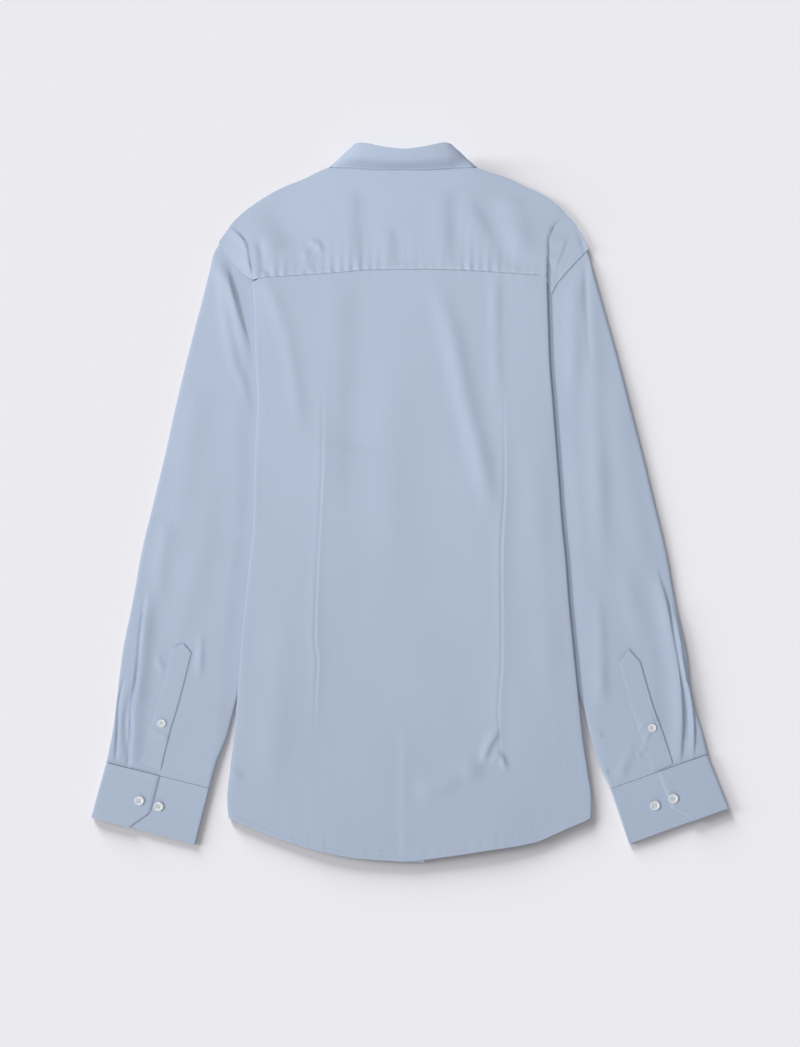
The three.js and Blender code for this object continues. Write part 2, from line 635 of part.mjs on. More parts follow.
// The height of a sleeve's upper cloth: flat under the body, fuller and folded where it lies clear.
function sleeveHeight(name, x, y, u, v) {
  const { side } = SLEEVES[name];
  const clear = ease(4, 30, side * (x - foldX(side, y))) * ease(0, 0.06, v);
  const full = 1.6 * ease(0, 0.2, 1 - u) * ease(1, 0.9, v) * clear;
  return SLEEVE_TOP + full + clear * foldRise(SLEEVE_FOLDS[name], x, y);
}

const SLEEVE_ROWS = [
  0, 0.04, 0.09, 0.15, 0.22, 0.3, 0.38, 0.46, 0.54, 0.62, 0.69, 0.76, 0.82, 0.88, 0.94, 1,
];

const UNDER_LAYER_LAG = 0.012;

function sleeve(name) {
  const plan = sleevePlan(name);
  const ring = [];
  for (const u of [0.012, 0.1, 0.22, 0.36, 0.46, 0.56, 0.66, 0.76, 0.86, 0.93, 0.985]) ring.push({ u, layer: 1 });
  ring.push({ u: 0.9965, layer: 0.5 });
  for (const u of [0.985, 0.7, 0.4, 0.012]) ring.push({ u, layer: 0 });
  ring.push({ u: 0.0035, layer: 0.5 });
  const at = (c, r) => {
    const { u, layer } = ring[c];
    const v = mix(layer ? 0 : UNDER_LAYER_LAG, 1, SLEEVE_ROWS[r]);
    const { x, y } = plan(u, v);
    return [x, y, mix(ON_FLOOR, sleeveHeight(name, x, y, u, v), layer)];
  };
  return clothWall({ columns: ring.length, rows: SLEEVE_ROWS.length, at, wraps: true });
}

// A sleeve placket lies on the sleeve's upper cloth, one pitch above its middle.
function placketHeight(name, x, y) {
  return SLEEVE_TOP + 1.6 + foldRise(SLEEVE_FOLDS[name], x, y) + PITCH;
}

function sleevePlacket(name) {
  const { point, shoulder, end, width } = SLEEVE_PLACKETS[name];
  const run = new THREE.Vector2(end[0] - shoulder[0], end[1] - shoulder[1]).normalize();
  const across = new THREE.Vector2(-run.y, run.x);
  const shares = [0, 0.15, 0.35, 0.6, 0.8, 0.97];
  const outs = [-0.5, -0.25, 0, 0.25, 0.5];
  const at = (c, r) => {
    const out = outs[c] * width;
    const x0 = mix(shoulder[0], end[0], shares[r]) + across.x * out;
    const y0 = mix(shoulder[1], end[1], shares[r]) + across.y * out;
    const peak = r === 0 ? 1 - Math.abs(outs[c]) * 2 : 0;
    const x = x0 + (point[0] - shoulder[0]) * peak;
    const y = y0 + (point[1] - shoulder[1]) * peak;
    return [x, y, placketHeight(name, x, y)];
  };
  return clothWall({ columns: outs.length, rows: shares.length, at });
}

// A cuff is one strip wound round: flap on top, round the outer edge, under, and back as the underlap.
function cuff(name) {
  const { seamOuter, seamInner, edgeOuter, edgeInner } = CUFFS[name];
  const width = Math.hypot(seamInner[0] - seamOuter[0], seamInner[1] - seamOuter[1]);
  const strip = [];
  const outerRadius = (CUFF.flap - CUFF.base) / 2;
  const innerRadius = (CUFF.underlap - CUFF.base) / 2;
  const lay = (from, to, z, steps) => {
    for (let i = 0; i <= steps; i += 1) strip.push([mix(from, to, i / steps), z]);
  };
  const round = (middle, radius, facing) => {
    for (let i = 1; i < 4; i += 1) {
      const angle = Math.PI / 2 - (facing * Math.PI * i) / 4;
      const out = radius * Math.cos(angle);
      strip.push([middle + out, CUFF.base + radius + radius * Math.sin(angle)]);
    }
  };
  const left = outerRadius + CUFF.wall / 2;
  const right = width - innerRadius - CUFF.wall / 2;
  lay(CUFF.flapReach * width, left, CUFF.flap, 4);
  round(left, outerRadius, -1);
  lay(left, right, CUFF.base, 3);
  const lower = strip.length;
  round(right, innerRadius, 1);
  const turned = strip.splice(lower).reverse();
  strip.push(...turned);
  lay(right, width * (1 - CUFF.underlapReach), CUFF.underlap, 3);
  const at = (c, r) => {
    const [out, z] = strip[c];
    const share = out / width;
    const fromFree = CUFF.flapReach * width - out;
    const cut = z > CUFF.underlap + 1 ? 0.32 * clamp(1 - fromFree / CUFF.cornerCut) : 0;
    const t = (r / 2) * (1 - cut);
    const x = mix(mix(seamOuter[0], seamInner[0], share), mix(edgeOuter[0], edgeInner[0], share), t);
    const y = mix(mix(seamOuter[1], seamInner[1], share), mix(edgeOuter[1], edgeInner[1], share), t);
    return [x, y, z];
  };
  return clothWall({ columns: strip.length, rows: 3, at, wall: CUFF.wall });
}

// A round button with four holes.
function button({ radius, thick }) {
  const circle = (path, cx, cy, r, sides) => {
    for (let i = 0; i < sides; i += 1) {
      const angle = (2 * Math.PI * i) / sides;
      const place = [cx + r * Math.cos(angle), cy + r * Math.sin(angle)];
      if (i === 0) path.moveTo(...place);
      else path.lineTo(...place);
    }
    path.closePath();
    return path;
  };
  const face = circle(new THREE.Shape(), 0, 0, radius, BUTTON_SIDES);
  for (let k = 0; k < BUTTON_HOLE.count; k += 1) {
    const angle = (2 * Math.PI * (k + 0.5)) / BUTTON_HOLE.count;
    const [cx, cy] = [BUTTON_HOLE.out * Math.cos(angle), BUTTON_HOLE.out * Math.sin(angle)];
    face.holes.push(circle(new THREE.Path(), cx, cy, BUTTON_HOLE.radius, BUTTON_HOLE.sides));
  }
  return new THREE.ExtrudeGeometry(face, { depth: thick, bevelEnabled: false });
}

const shirt = new THREE.Group();
shirt.name = "long_sleeve_dress_shirt";

function add(name, geometry, finish = CLOTH) {
  const mesh = new THREE.Mesh(geometry, new THREE.MeshStandardMaterial(finish));
  mesh.name = name;
  shirt.add(mesh);
  return mesh;
}

add("back_panel", backPanel());
add("back_yoke", yoke());
add("front_left", frontPanel(-1, PLACKET_WIDTH / 2 + SEAM_GAP, PLACKET_HEIGHT));
add("front_right", frontPanel(1, -PLACKET_WIDTH / 2, PLACKET_HEIGHT + PITCH));
add("front_placket", frontPlacket());
add("collar_stand", collarStand());
add("collar_leaf", collarLeaf());
for (const name of ["left", "right"]) {
  add(`sleeve_${name}`, sleeve(name));
  add(`sleeve_placket_${name}`, sleevePlacket(name));
  add(`cuff_${name}`, cuff(name));
}
for (const { name, x, y, on, size } of BUTTONS) {
  add(name, button(size), BUTTON_FINISH).position.set(x, y, on + SEAM_GAP);
}
for (const { name, side, x, y } of PLACKET_BUTTONS) {
  const height = placketHeight(side, x, y) + WALL / 2 + SEAM_GAP;
  add(name, button(SMALL_BUTTON), BUTTON_FINISH).position.set(x, y, height);
}
FRONT_BUTTON_YS.forEach((y, i) => {
  const mesh = add(`button_front_${i + 1}`, button(FRONT_BUTTON), BUTTON_FINISH);
  mesh.position.set(middleX(y), y, PLACKET_HEIGHT - WALL / 2 - SEAM_GAP - FRONT_BUTTON.thick);
});

export default shirt;
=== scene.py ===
"""A long sleeve dress shirt of pale blue poplin, laid flat on its front with its sides turned under.

Lengths are in millimetres until a mesh is made. +X is to the viewer's right, +Y runs to the collar and
+Z is up from the surface the shirt lies on.
"""
import math

import bpy
import numpy as np
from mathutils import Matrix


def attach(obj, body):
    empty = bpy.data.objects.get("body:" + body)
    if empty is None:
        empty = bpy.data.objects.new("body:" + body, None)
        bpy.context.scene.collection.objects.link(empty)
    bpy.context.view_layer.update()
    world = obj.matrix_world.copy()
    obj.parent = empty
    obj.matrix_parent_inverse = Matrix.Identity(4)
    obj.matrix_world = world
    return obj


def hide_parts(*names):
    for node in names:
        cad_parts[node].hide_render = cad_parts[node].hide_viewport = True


bl_info = {
    "name": "Long sleeve dress shirt",
    "version": (1, 0, 0),
    "blender": (4, 5, 0),
    "location": "3D View > Sidebar > Shirt",
    "description": "Builds a poplin dress shirt laid flat, with its sewing, buttons and studio",
    "category": "Add Mesh",
}

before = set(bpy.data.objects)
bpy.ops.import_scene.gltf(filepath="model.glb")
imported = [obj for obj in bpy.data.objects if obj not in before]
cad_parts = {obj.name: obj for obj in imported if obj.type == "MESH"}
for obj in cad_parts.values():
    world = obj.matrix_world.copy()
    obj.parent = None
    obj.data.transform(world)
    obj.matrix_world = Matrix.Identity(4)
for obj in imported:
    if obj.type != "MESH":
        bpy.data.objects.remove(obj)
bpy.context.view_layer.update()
MM = 0.001
METRE = 1000

# Thicknesses of the cloth as it is sewn, and the pitch of layers lying on each other.
POPLIN = 0.5
DOUBLED = 0.9
LEAF_WALL = 1.0
SLEEVE_PLACKET_WALL = 0.7
INTERLINED = 1.1
PITCH = 1.5
ON_FLOOR = 0.6
SEAM_GAP = 0.3
LEAF_ON_FLOOR = 1.1

# Heights of the middle of the cloth.
SLEEVE_PILE = 3.3
SLEEVE_TOP = 2.4
SLEEVE_LOFT = 1.6
SLEEVE_LEAST = 1.4
SLEEVE_PLACKET_RISE = 1.6
BACK_CENTRE = 6.4
ARMHOLE_HEIGHT = 3.9
PLACKET_HEIGHT = 3.3

# How many times deeper the creases of each cloth are than their tables say.
CREASE_DEPTHS = {"back": 4.2, "yoke": 5, "sleeve": 2}
# The long shallow waves of each cloth.
WAVES = {
    "back": {"seed": 3, "wave": 95, "amount": 0.45},
    "yoke": {"seed": 8, "wave": 70, "amount": 0.4},
    "front_strip": {"seed": 17, "wave": 60, "amount": 0.1},
    "sleeve_left": {"seed": 21, "wave": 80, "amount": 0.3},
    "sleeve_right": {"seed": 22, "wave": 80, "amount": 0.3},
    "cuff_left": {"seed": 31, "wave": 45, "amount": 0.12},
    "cuff_right": {"seed": 32, "wave": 45, "amount": 0.12},
}
# The small gathers along the seams.
GATHERS = {
    "yoke": {"seed": 4, "pitch": 13, "reach": 12, "amount": 1.05},
    "back": {"seed": 5, "pitch": 11, "reach": 6, "amount": 0.16},
    "hem": {"seed": 9, "pitch": 13, "reach": 7, "amount": 0.16},
}
# The sewn hem: depth of its turn, its rise and where its stitching dips.
HEM_TURN = 7
HEM_RISE = 0.3
HEM_STEP = (7.6, 6.6)
HEM_STITCH = {"middle": 6.9, "depth": 0.28, "width": 0.8}

# Places of the body along Y, the least and greatest turn of its sides, and the round of their folds.
YOKE_SIDE_Y = 246
HEM_SIDE_Y = -354
ARMHOLE_HIDES_Y = 141
UNDERARM_Y = 46
UNDERARM_LEAD = 18
LEAST_TURN = 4.5
UNDERARM_TURN = 83
FOLD_RADIUS = 2.25
FRONT_FOLD_RADIUS = 0.75
FOLD_REACH = FOLD_RADIUS + 0.6
# Parts of the round folds and of the cloth that runs back in, and how far the fronts' folds lie inside.
FOLD_ARCS = 9
FOLD_RETURNS = 9
FRONT_FOLD_ARCS = 8
FRONT_FOLD_RETURNS = 8
FRONT_INSET = 2
# Distances from the fold between which the creases of the back begin.
FOLD_SMOOTHS = (-0.5, 4.5)
# At the hem the turned-in cloth slants up towards the side seam.
HEM_SLANT = 12
HEM_SLANT_REACH = 60

# Spacing of the back's points, which lie closer where a dart or an edge needs it.
BACK_MESH = 2.95
DART_MESH = 1.25
DART_COLUMNS = ((-113, -96), (94, 111))
SIDE_COLUMNS = 22
SIDE_COLUMNS_CLOSE = 0.9
NEAR_SEAM = [0, 0.8, 1.8, 3, 4.5]
NEAR_HEM = [9.6, 8.2, 7.4, 6.8, 6.1, 5, 2.6, 0.8, 0]
# Where the points of each cloth lie on its grid: single places, and even runs with start, end and spacing.
# They are shares of its width or length, but the yoke's columns are places among YOKE_LINES.
GRID_PLACES = {
    "yoke_columns": [(0, 3, 0.09), (3.12, 6, 0.12), (6.1, 13.9, 0.12), (14, 18, 0.13)],
    "yoke_beyond_tuck": [(19, 20, 0.09)],
    "yoke_rows": [0, 0.006, 0.012, 0.02, 0.03, 0.045, (0.06, 1, 0.0225)],
    "front_columns": [0, 0.006, 0.02, (0.04, 0.985, 0.0155)],
    "front_rows": [(0, 1, 0.0062)],
    "front_strip_columns": [(-0.5, 0.5, 0.05)],
    "stand_columns": [(0, 1, 0.006)],
    "stand_rows": [(0, 1, 0.08)],
    "leaf_columns": [(0, 1, 0.005)],
    "leaf_rows": [(0, 0.3, 0.02), (0.33, 0.94, 0.03), 0.965, 0.985, 1],
    "sleeve_upper_columns": [(0.034, 0.966, 0.0078)],
    "sleeve_lower_columns": [(0.95, 0.05, 0.075)],
    "sleeve_rows": [0, 0.002, 0.005, 0.009, 0.014, (0.02, 0.985, 0.0053), 0.99, 0.995, 1],
    "placket_columns": [0, 0.02, (0.06, 0.94, 0.055), 0.98, 1],
    "placket_rows": [(0, 0.0875, 0.0125), (0.1, 1, 0.0145)],
    "cuff_rows": [0, 0.012, 0.03, 0.05, 0.075, 0.1, (0.13, 0.88, 0.03), 0.91, 0.94, 0.965, 0.985, 1],
}
# The row of each grid along which its cut width is measured, and the column for the yoke's cut length.
CUT_ROWS = {"back": 120, "yoke": 6, "front": 30, "stand": 6}
YOKE_CUT_COLUMN = 60

# Where the sides turn under: y, left x, right x.
SIDE_FOLDS = [
    (254, -177.2, 153.3), (204, -174.8, 155), (159, -173.7, 156.5), (114, -171.5, 160), (69, -173.7, 163.4),
    (25, -174.8, 166.8), (-20, -175.9, 170.1), (-65, -180.4, 174.6), (-110, -184.9, 178),
    (-155, -189.4, 182.4), (-222, -193.9, 189.2), (-264, -197.2, 193.7), (-300, -201.7, 199.3),
    (-334, -205.1, 203.8), (-356, -203.4, 203.2),
]
# y, how far the cloth runs in under the side fold before the side seam.
SIDE_TURNS = [(UNDERARM_Y, UNDERARM_TURN), (-110, 60), (HEM_SIDE_Y, 45)]
# x, y of the shirttail hem.
HEM = [
    (-203, -354), (-181.6, -362.9), (-160.3, -371.8), (-134.5, -380.8), (-104.3, -389.8), (-56, -398.7),
    (-6, -401.6), (36, -397.2), (84, -390), (140, -380.6), (161.2, -371.8), (181.3, -362.9), (203, -354),
]
# x, y of the yoke's lower seam.
YOKE_SEAM = [
    (-177, 247.5), (-163.6, 250.3), (-141, 252), (-82, 256), (-45, 259.1), (23, 259.7), (58, 258.7),
    (84, 257.4), (105, 255.9), (128, 254.2), (150, 252.8), (156.7, 250), (163, 243),
]
# x, y of the folded shoulders and, between them, the back of the neckline.
SHOULDERS = [
    (-214, 290), (-208.4, 298), (-195, 315.8), (-172.6, 333.8), (-142.4, 351.2), (-117.7, 361),
    (-104.3, 367.6), (-92, 372.3), (-80, 373.6), (-62, 373.8), (-8, 376), (46, 373.8), (64, 373.6),
    (76, 372.3), (90.6, 367.6), (111.9, 360.6), (128.7, 352.3), (150, 342.2), (172.4, 324.8),
    (186.9, 306.9), (198.1, 287), (203, 270),
]
# Lengthwise lines of the yoke: x at the seam, x at the shoulder, bow, height at the shoulder and height of
# the part that turns on to the front. The neck lines have no such part.
YOKE_LINES = [
    (-177, -214, -4.6, 3.9, 0.6), (-170, -203, -3, 3.9, 0.6), (-160, -188, -1.5, 4.2, 0.6),
    (-140, -165, 0, 4.8, 0.6), (-112, -137, 0, 5.4, 0.8), (-88, -112, 0, 6.8, 2.1), (-72, -97, 0, 8, 2.1),
    (-62, -80, 0, 9, 2.1), (-45, -58, 0, 9.5, 2.1), (-22, -32, 0, 9.5, 2.1), (-2, -8, 0, 9.5, 2.1),
    (18, 16, 0, 9.5, 2.1), (38, 42, 0, 9.5, 2.1), (54, 64, 0, 9, 2.1), (68, 81, 0, 8, 2.1),
    (84, 96, 0, 6.8, 2.1), (106, 122, 0, 5.4, 0.8), (130, 150, 0, 5.6, 0.6), (144, 166, -3, 5.6, 0.6),
    (158, 182, 0, 4, 0.6), (163, 199.5, -1, 3.9, 0.6),
]
YOKE_TUCK_AFTER = 18
# By the left armhole the yoke keeps one height, over these lines and these shares of their length.
ARMHOLE_LEVEL_LINES = (0, 1.2)
ARMHOLE_LEVEL_SHARES = (-0.02, 0.13)
# x, y at which the part beyond the tuck starts along the armhole seam, the share of its length that bends to
# them and how much lower it lies there.
BEYOND_TUCK = [(153, 214), (156.7, 227.4), (159, 235), (163, 243)]
BEYOND_TUCK_SHARE = 0.3
BEYOND_TUCK_LOWER = 0.4
# The lines at the neck, and how the yoke turns over the shoulders on to the fronts.
NECK_LINES = (7, 13)
YOKE_FRONT_TURN = 32
SHOULDER_ARCS = 8
SHOULDER_INSET = 0.6
TURN_ROWS = 8
# Places along the yoke seam between which it is gathered: start, full from, full to and end.
YOKE_GATHERED = ((-178, -160, -36, -22), (52, 64, 112, 124))
LEAST_GATHERED = 0.35
# The yoke's topstitching: where it dips, and the rise of the doubled cloth below it.
YOKE_STITCH = {"middle": 2.5, "depth": 0.3}
YOKE_SEAM_RISE = 0.25
# The pressed tuck: its depth, its least depth, the round of its edge and the shares between which it opens.
TUCK_DEPTH = 7.5
TUCK_LEAST = 0.5
TUCK_ROUND = 1.6
TUCK_OPENS = (1.0, 0.72)
TUCK_COLUMNS = 24
# y, x of the pressed tuck near the right end of the yoke.
YOKE_TUCK = [(240, 153.3), (265, 153.3), (293, 154.4), (307, 155.8), (317, 162), (323, 171.5)]

# Middle line of the front closing, and the front of the neckline by distance from that line.
FRONT_TOP = (-8, 300)
FRONT_HEM_Y = -403
PLACKET_WIDTH = 32
FRONT_NECKLINE = [(0, 298), (20, 301), (40, 308), (58, 320), (70, 331)]
FRONT_SHOULDER_X = {-1: -178, 1: 162}
FRONT_LENGTH = 680
FRONT_STRIP_TOP_Y = 296
FRONT_STRIP_MESH = 4
FRONT_STRIP_STITCH = {"middle": 0.34, "depth": 0.15, "width": 0.03}
# Where the fronts rise on to what lies under them, and where their creases begin.
FRONT_RISES = {
    "strip_out": (52, 22), "side_in": (-42, -6), "side_y": (246, 216), "collar_y": (252, 266),
    "collar_out": (118, 96), "crease_out": (30, 60), "crease_from_neck": (12, 30),
}
FRONT_CREASE_DEPTH = 0.8
# The edges of the fronts: where along Y the side edge moves out to the shoulder, the front edge moves to the
# neck and the side is turned down, and how far they lie inside the back.
FRONT_SHOULDER_YS = (256, 274)
FRONT_NECK_YS = (250, 300)
FRONT_TURNED_YS = (214, 186)
FRONT_SIDE_INSET = 7
FRONT_HEM_INSET = 4
FRONT_SEAM_FROM_X = 60
FRONT_SEAM_INSET = 5

# One half of the collar from the middle of the back to the front. Each station has the neckline edge of the
# stand, its top edge, the roll, a point on the leaf and the leaf's free edge, as distance out, y and z.
COLLAR_MIDDLE_X = -8
COLLAR_LEAN = 0.22
LEANS_ABOVE = 11
STAND_WIDTH = 32
LEAF_WIDTH = 42
LEAF_CLEARS_STAND = 1.2
COLLAR = [
    ((0, 377.5, 11.5), (0, 393.5, 34), (0, 395.6, 36.8), (0, 382, 29), (0, 371.2, 11.2)),
    ((15, 377.5, 11.5), (15, 394.4, 34.2), (15, 396.9, 37), (15, 382.4, 29), (15, 371, 11.2)),
    ((31, 377.3, 11.3), (30, 396.8, 34.4), (30, 399.4, 37.2), (30.5, 384, 29.5), (31, 371.2, 11.2)),
    ((46, 376.6, 10.8), (43.5, 398.8, 33.6), (45, 402.3, 36.2), (46.6, 385.5, 29), (47, 372, 10.9)),
    ((58, 375.8, 10), (51, 397, 30), (52.6, 400.4, 32.4), (58.6, 386, 25.4), (60, 373, 10.6)),
    ((69, 375, 8.8), (55, 393.2, 24.6), (57, 395.5, 28.2), (67.6, 385.4, 18.6), (75, 373.4, 10.4)),
    ((77, 373.6, 7), (56.4, 390, 19.8), (58, 393.2, 23.4), (72, 381.4, 13.6), (79.6, 373.9, 8.2)),
    ((80.5, 371, 5), (57.4, 388, 15), (58.5, 391.2, 13.2), (73.8, 380.2, 7.4), (83, 373.6, 2.6)),
    ((80.5, 364, 3.4), (57, 384, 9.6), (54.8, 387.8, 8), (69, 374, 3.2), (86, 364, 0.7)),
    ((78.5, 348, 2.7), (54, 368, 6), (51.6, 371.8, 3.6), (69, 356, 0.7), (88, 338, 0.6)),
    ((66, 328.4, 2.7), (47.5, 352, 4), (45, 356, 2), (58, 338, 0.6), (76, 301, 0.6)),
    ((46, 312.4, 2.9), (34, 339, 3.5), (33, 343, 1.8), (43, 308, 0.6), (56, 274, 0.6)),
    ((22, 302.4, 3.2), (17, 331, 3.4), (17, 335, 1.8), (19, 322, 0.6), (23, 314, 0.6)),
]
STAND_LAP = ((-11, 299.4, 3.4), (-11, 328.6, 3.4))

# Sleeves in plan: tip runs up the armhole to the shoulder, outer and inner down to the cuff.
SLEEVES = {
    "left": {
        "side": -1,
        "tip": [(-172.5, 204), (-170.6, 230), (-171.2, 246), (-176, 252.5), (-181, 253), (-197.4, 269.6),
                (-214.4, 288.6)],
        "outer": [
            (-219.6, 280), (-224.1, 262), (-233.1, 226), (-247.6, 170), (-261.1, 114), (-273.4, 58),
            (-286.8, 2), (-300.3, -54), (-310.4, -110), (-321.6, -166), (-328.3, -219.5), (-332.8, -255.4),
        ],
        "inner": [(-112, 2), (-135, -54), (-158, -110), (-179, -166), (-196.1, -228.5), (-205.6, -264),
                  (-216.3, -291.2)],
        "cuff": [(-340, -291), (-224.4, -320)],
    },
    "right": {
        "side": 1,
        "tip": [(151.5, 204), (148.6, 226), (149.5, 238), (153.5, 244), (159.4, 243), (165, 247.2),
                (174.8, 258.8), (198.2, 283.8)],
        "outer": [
            (202.8, 270), (205.8, 258), (214.9, 226), (230.6, 170), (245.2, 114), (259.7, 58), (273.2, 2),
            (286.6, -54), (296.7, -110), (309, -166), (315.7, -219.5), (326.9, -255.4),
        ],
        "inner": [(98, 2), (121.6, -54), (145, -110), (167, -166), (193.2, -228.5), (202, -264),
                  (210.5, -291.2)],
        "cuff": [(333.2, -281.8), (223.8, -320.6)],
    },
}
# The lower layer of a sleeve starts a little further down. A sleeve grows full between two distances out past
# the body's fold, and its pressed edges are round.
UNDER_LAYER_LAG = 0.012
ARMHOLE_YS = (52, 66, 84, 108, 136, 168)
SLEEVE_CLEARS = (2, 22)
SLEEVE_FULL_FROM = 0.05
SLEEVE_LEVEL_AT_CUFF = (1.004, 0.98)
SLEEVE_EDGE = [0.0035, 0.0042, 0.0065, 0.0105, 0.016, 0.024]
SLEEVE_EDGE_ROUND = 3.2
SLEEVE_EDGE_LEVEL = 0.42
SLEEVE_HALF_WIDTH = 165
SLEEVE_LENGTH = 610

# Cuffs in plan: corners at the sleeve seam and at the free edge, outer side first.
CUFFS = {
    "left": ((-340.1, -291.35), (-224.5, -320.4), (-357, -352.5), (-240.4, -383.2)),
    "right": ((333.3, -282.15), (223.9, -321), (357, -341.9), (244.6, -382.5)),
}
# Heights of a cuff's layers, the reach of flap and underlap as shares of its width, the flap's cut corner as
# width and share of the depth, and the two rows of stitching by their distance from the sleeve seam.
CUFF_BASE = 0.8
CUFF_UNDERLAP = 3.2
CUFF_FLAP = 5.6
FLAP_REACH = 0.515
UNDERLAP_REACH = 0.72
CORNER_CUT = (18, 0.345)
CUFF_DEPTH = 63
CUFF_ARCS = 12
CUFF_MESH = 1.8
CUFF_UNDER_MESH = 5
CUFF_EDGE_GAP = 0.8
CUFF_STITCHES = (58, 4.5)
CUFF_STITCH_DIP = 0.2
FLAP_EDGE_DROP = 0.9
FLAP_EDGE_ROUND = 2.2
FLAP_FOOT_DROP = 0.5
FLAP_FOOT_SHARE = 0.96

# Sleeve plackets: width, length, share of the length in the point and how its stitching and edges dip.
SLEEVE_PLACKET_WIDTH = 24
SLEEVE_PLACKET_LENGTH = 150
POINT_SHARE = 0.1
SLEEVE_PLACKET_STITCH = {"middle": 2, "depth": 0.25}
SLEEVE_PLACKET_EDGE_DROP = 0.35
SLEEVE_PLACKET_ROUND = 1.2
SLEEVE_PLACKET_FOOT_DROP = 0.9
SLEEVE_PLACKET_FOOT_SHARE = 0.965

# Sleeve plackets in plan: the point, then both long edges from the shoulders of the point to the cuff.
SLEEVE_PLACKETS = {
    "left": {
        "point": (-253.7, -158.4),
        "outer": [(-265.8, -163.2), (-277, -205.6), (-285.6, -235.8), (-292.6, -259.8), (-301.4, -292.5)],
        "inner": [(-244.9, -168.8), (-252.6, -199.4), (-261.6, -233), (-268, -253.5), (-279.6, -300.5)],
    },
    "right": {
        "point": (244, -164.6),
        "outer": [(257.2, -179.4), (264.6, -206), (272.7, -232.4), (283.5, -262), (293.4, -293)],
        "inner": [(233.6, -178.6), (241.4, -209), (249.4, -237), (258.6, -266), (270.4, -303)],
    },
}

# Points along the line of a crease, how many widths it reaches, and the shares of its length over which it
# fades in and out at its ends.
CREASE_SAMPLES = 60
CREASE_REACHES = {"ridge": 3.2, "pleat": 3.2, "step": 7}
CREASE_STARTS = (-0.12, 0.22)
CREASE_ENDS = (1.12, 0.78)

# Soft creases of the pressed cloth: line, width and rise, and the form where it is more than a ridge. A step
# falls to the right of its line as the line is drawn.
BACK_CREASES = [
    {"line": [(-67, 240), (-73, 114), (-78, 10)], "width": 13, "rise": -1.0, "form": "step"},
    {"line": [(-161, 246), (-140, 193), (-123, 92)], "width": 9, "rise": 0.45},
    {"line": [(30, 243), (45, 193), (62, 114), (76, 58), (92, -15)], "width": 11, "rise": 0.75},
    {"line": [(95, 256), (95, 193), (98, 114)], "width": 7, "rise": 0.35},
    {"line": [(-10, -262), (-11, -334), (-9, -399)], "width": 3.5, "rise": 0.3, "form": "step"},
    {"line": [(99.6, -254), (87, -272), (81.6, -291)], "width": 4, "rise": 0.8},
    {"line": [(100.7, -282), (89.5, -289)], "width": 3, "rise": 0.6},
    {"line": [(100.7, -282), (107.4, -298)], "width": 3, "rise": 0.6},
    {"line": [(78, -295), (34, -317), (11, -323)], "width": 11, "rise": 0.8},
    {"line": [(-194, -301), (-204, -324)], "width": 3, "rise": 0.9},
    {"line": [(196, -300), (204, -334)], "width": 3, "rise": 0.9},
    {"line": [(-20, 150), (-26, 30), (-18, -90)], "width": 26, "rise": 0.5},
    {"line": [(-140, -120), (-150, -230), (-158, -330)], "width": 17, "rise": 0.4},
    {"line": [(140, 60), (146, -80), (158, -220)], "width": 16, "rise": 0.4},
]
BACK_DARTS = [
    [(-97.6, 118), (-98.7, 34.7), (-104.8, -96.3), (-106, -161.3), (-103.8, -173.6), (-105.6, -212.8),
     (-106.5, -248)],
    [(105.7, 116), (105.2, 79.5), (105.2, 13.4), (101.8, -52.6), (101.8, -178.1), (98.4, -229.6),
     (99.6, -254.2), (100.7, -286)],
]
# Each dart: a soft ridge with a fine groove along its seam and a faint ridge beside it.
DART_SWELL = {"width": 7.5, "rise": 0.8}
DART_GROOVE = {"width": 1.5, "rise": -0.7}
DART_ALLOWANCE = {"width": 1.5, "rise": 0.2}
DART_ALLOWANCE_OUT = 2.4
YOKE_CREASES = [
    {"line": [(-166, 330), (-152, 302), (-140, 280)], "width": 13, "rise": -0.9, "form": "step"},
    {"line": [(-60, 346), (-59, 300), (-58, 262)], "width": 8, "rise": -0.7, "form": "step"},
    {"line": [(-19, 306), (-19, 260)], "width": 5, "rise": -0.4, "form": "step"},
    {"line": [(43, 346), (44, 300), (44, 266)], "width": 7, "rise": -0.6, "form": "step"},
    {"line": [(70, 336), (97, 285), (100, 262)], "width": 7, "rise": -0.6, "form": "step"},
    {"line": [(-168, 292), (-161, 252)], "width": 5, "rise": -0.5},
    {"line": [(-117, 282), (-114, 254)], "width": 3, "rise": 0.4},
    {"line": [(-111, 290.5), (-104, 288), (-99, 281)], "width": 2.4, "rise": 0.6},
    {"line": [(-200, 306), (-184.9, 290.1), (-180, 266), (-176.5, 248)], "width": 5, "rise": 0.45,
     "form": "pleat", "falls": -1},
    {"line": [(177, 322), (174.8, 300), (168.6, 277), (161, 259)], "width": 5, "rise": 0.3, "form": "pleat",
     "falls": -1},
    {"line": [(187, 304), (192.6, 290), (195, 278)], "width": 2.6, "rise": -0.16},
    {"line": [(110, 345), (118, 310), (126, 275)], "width": 14, "rise": 0.5},
]
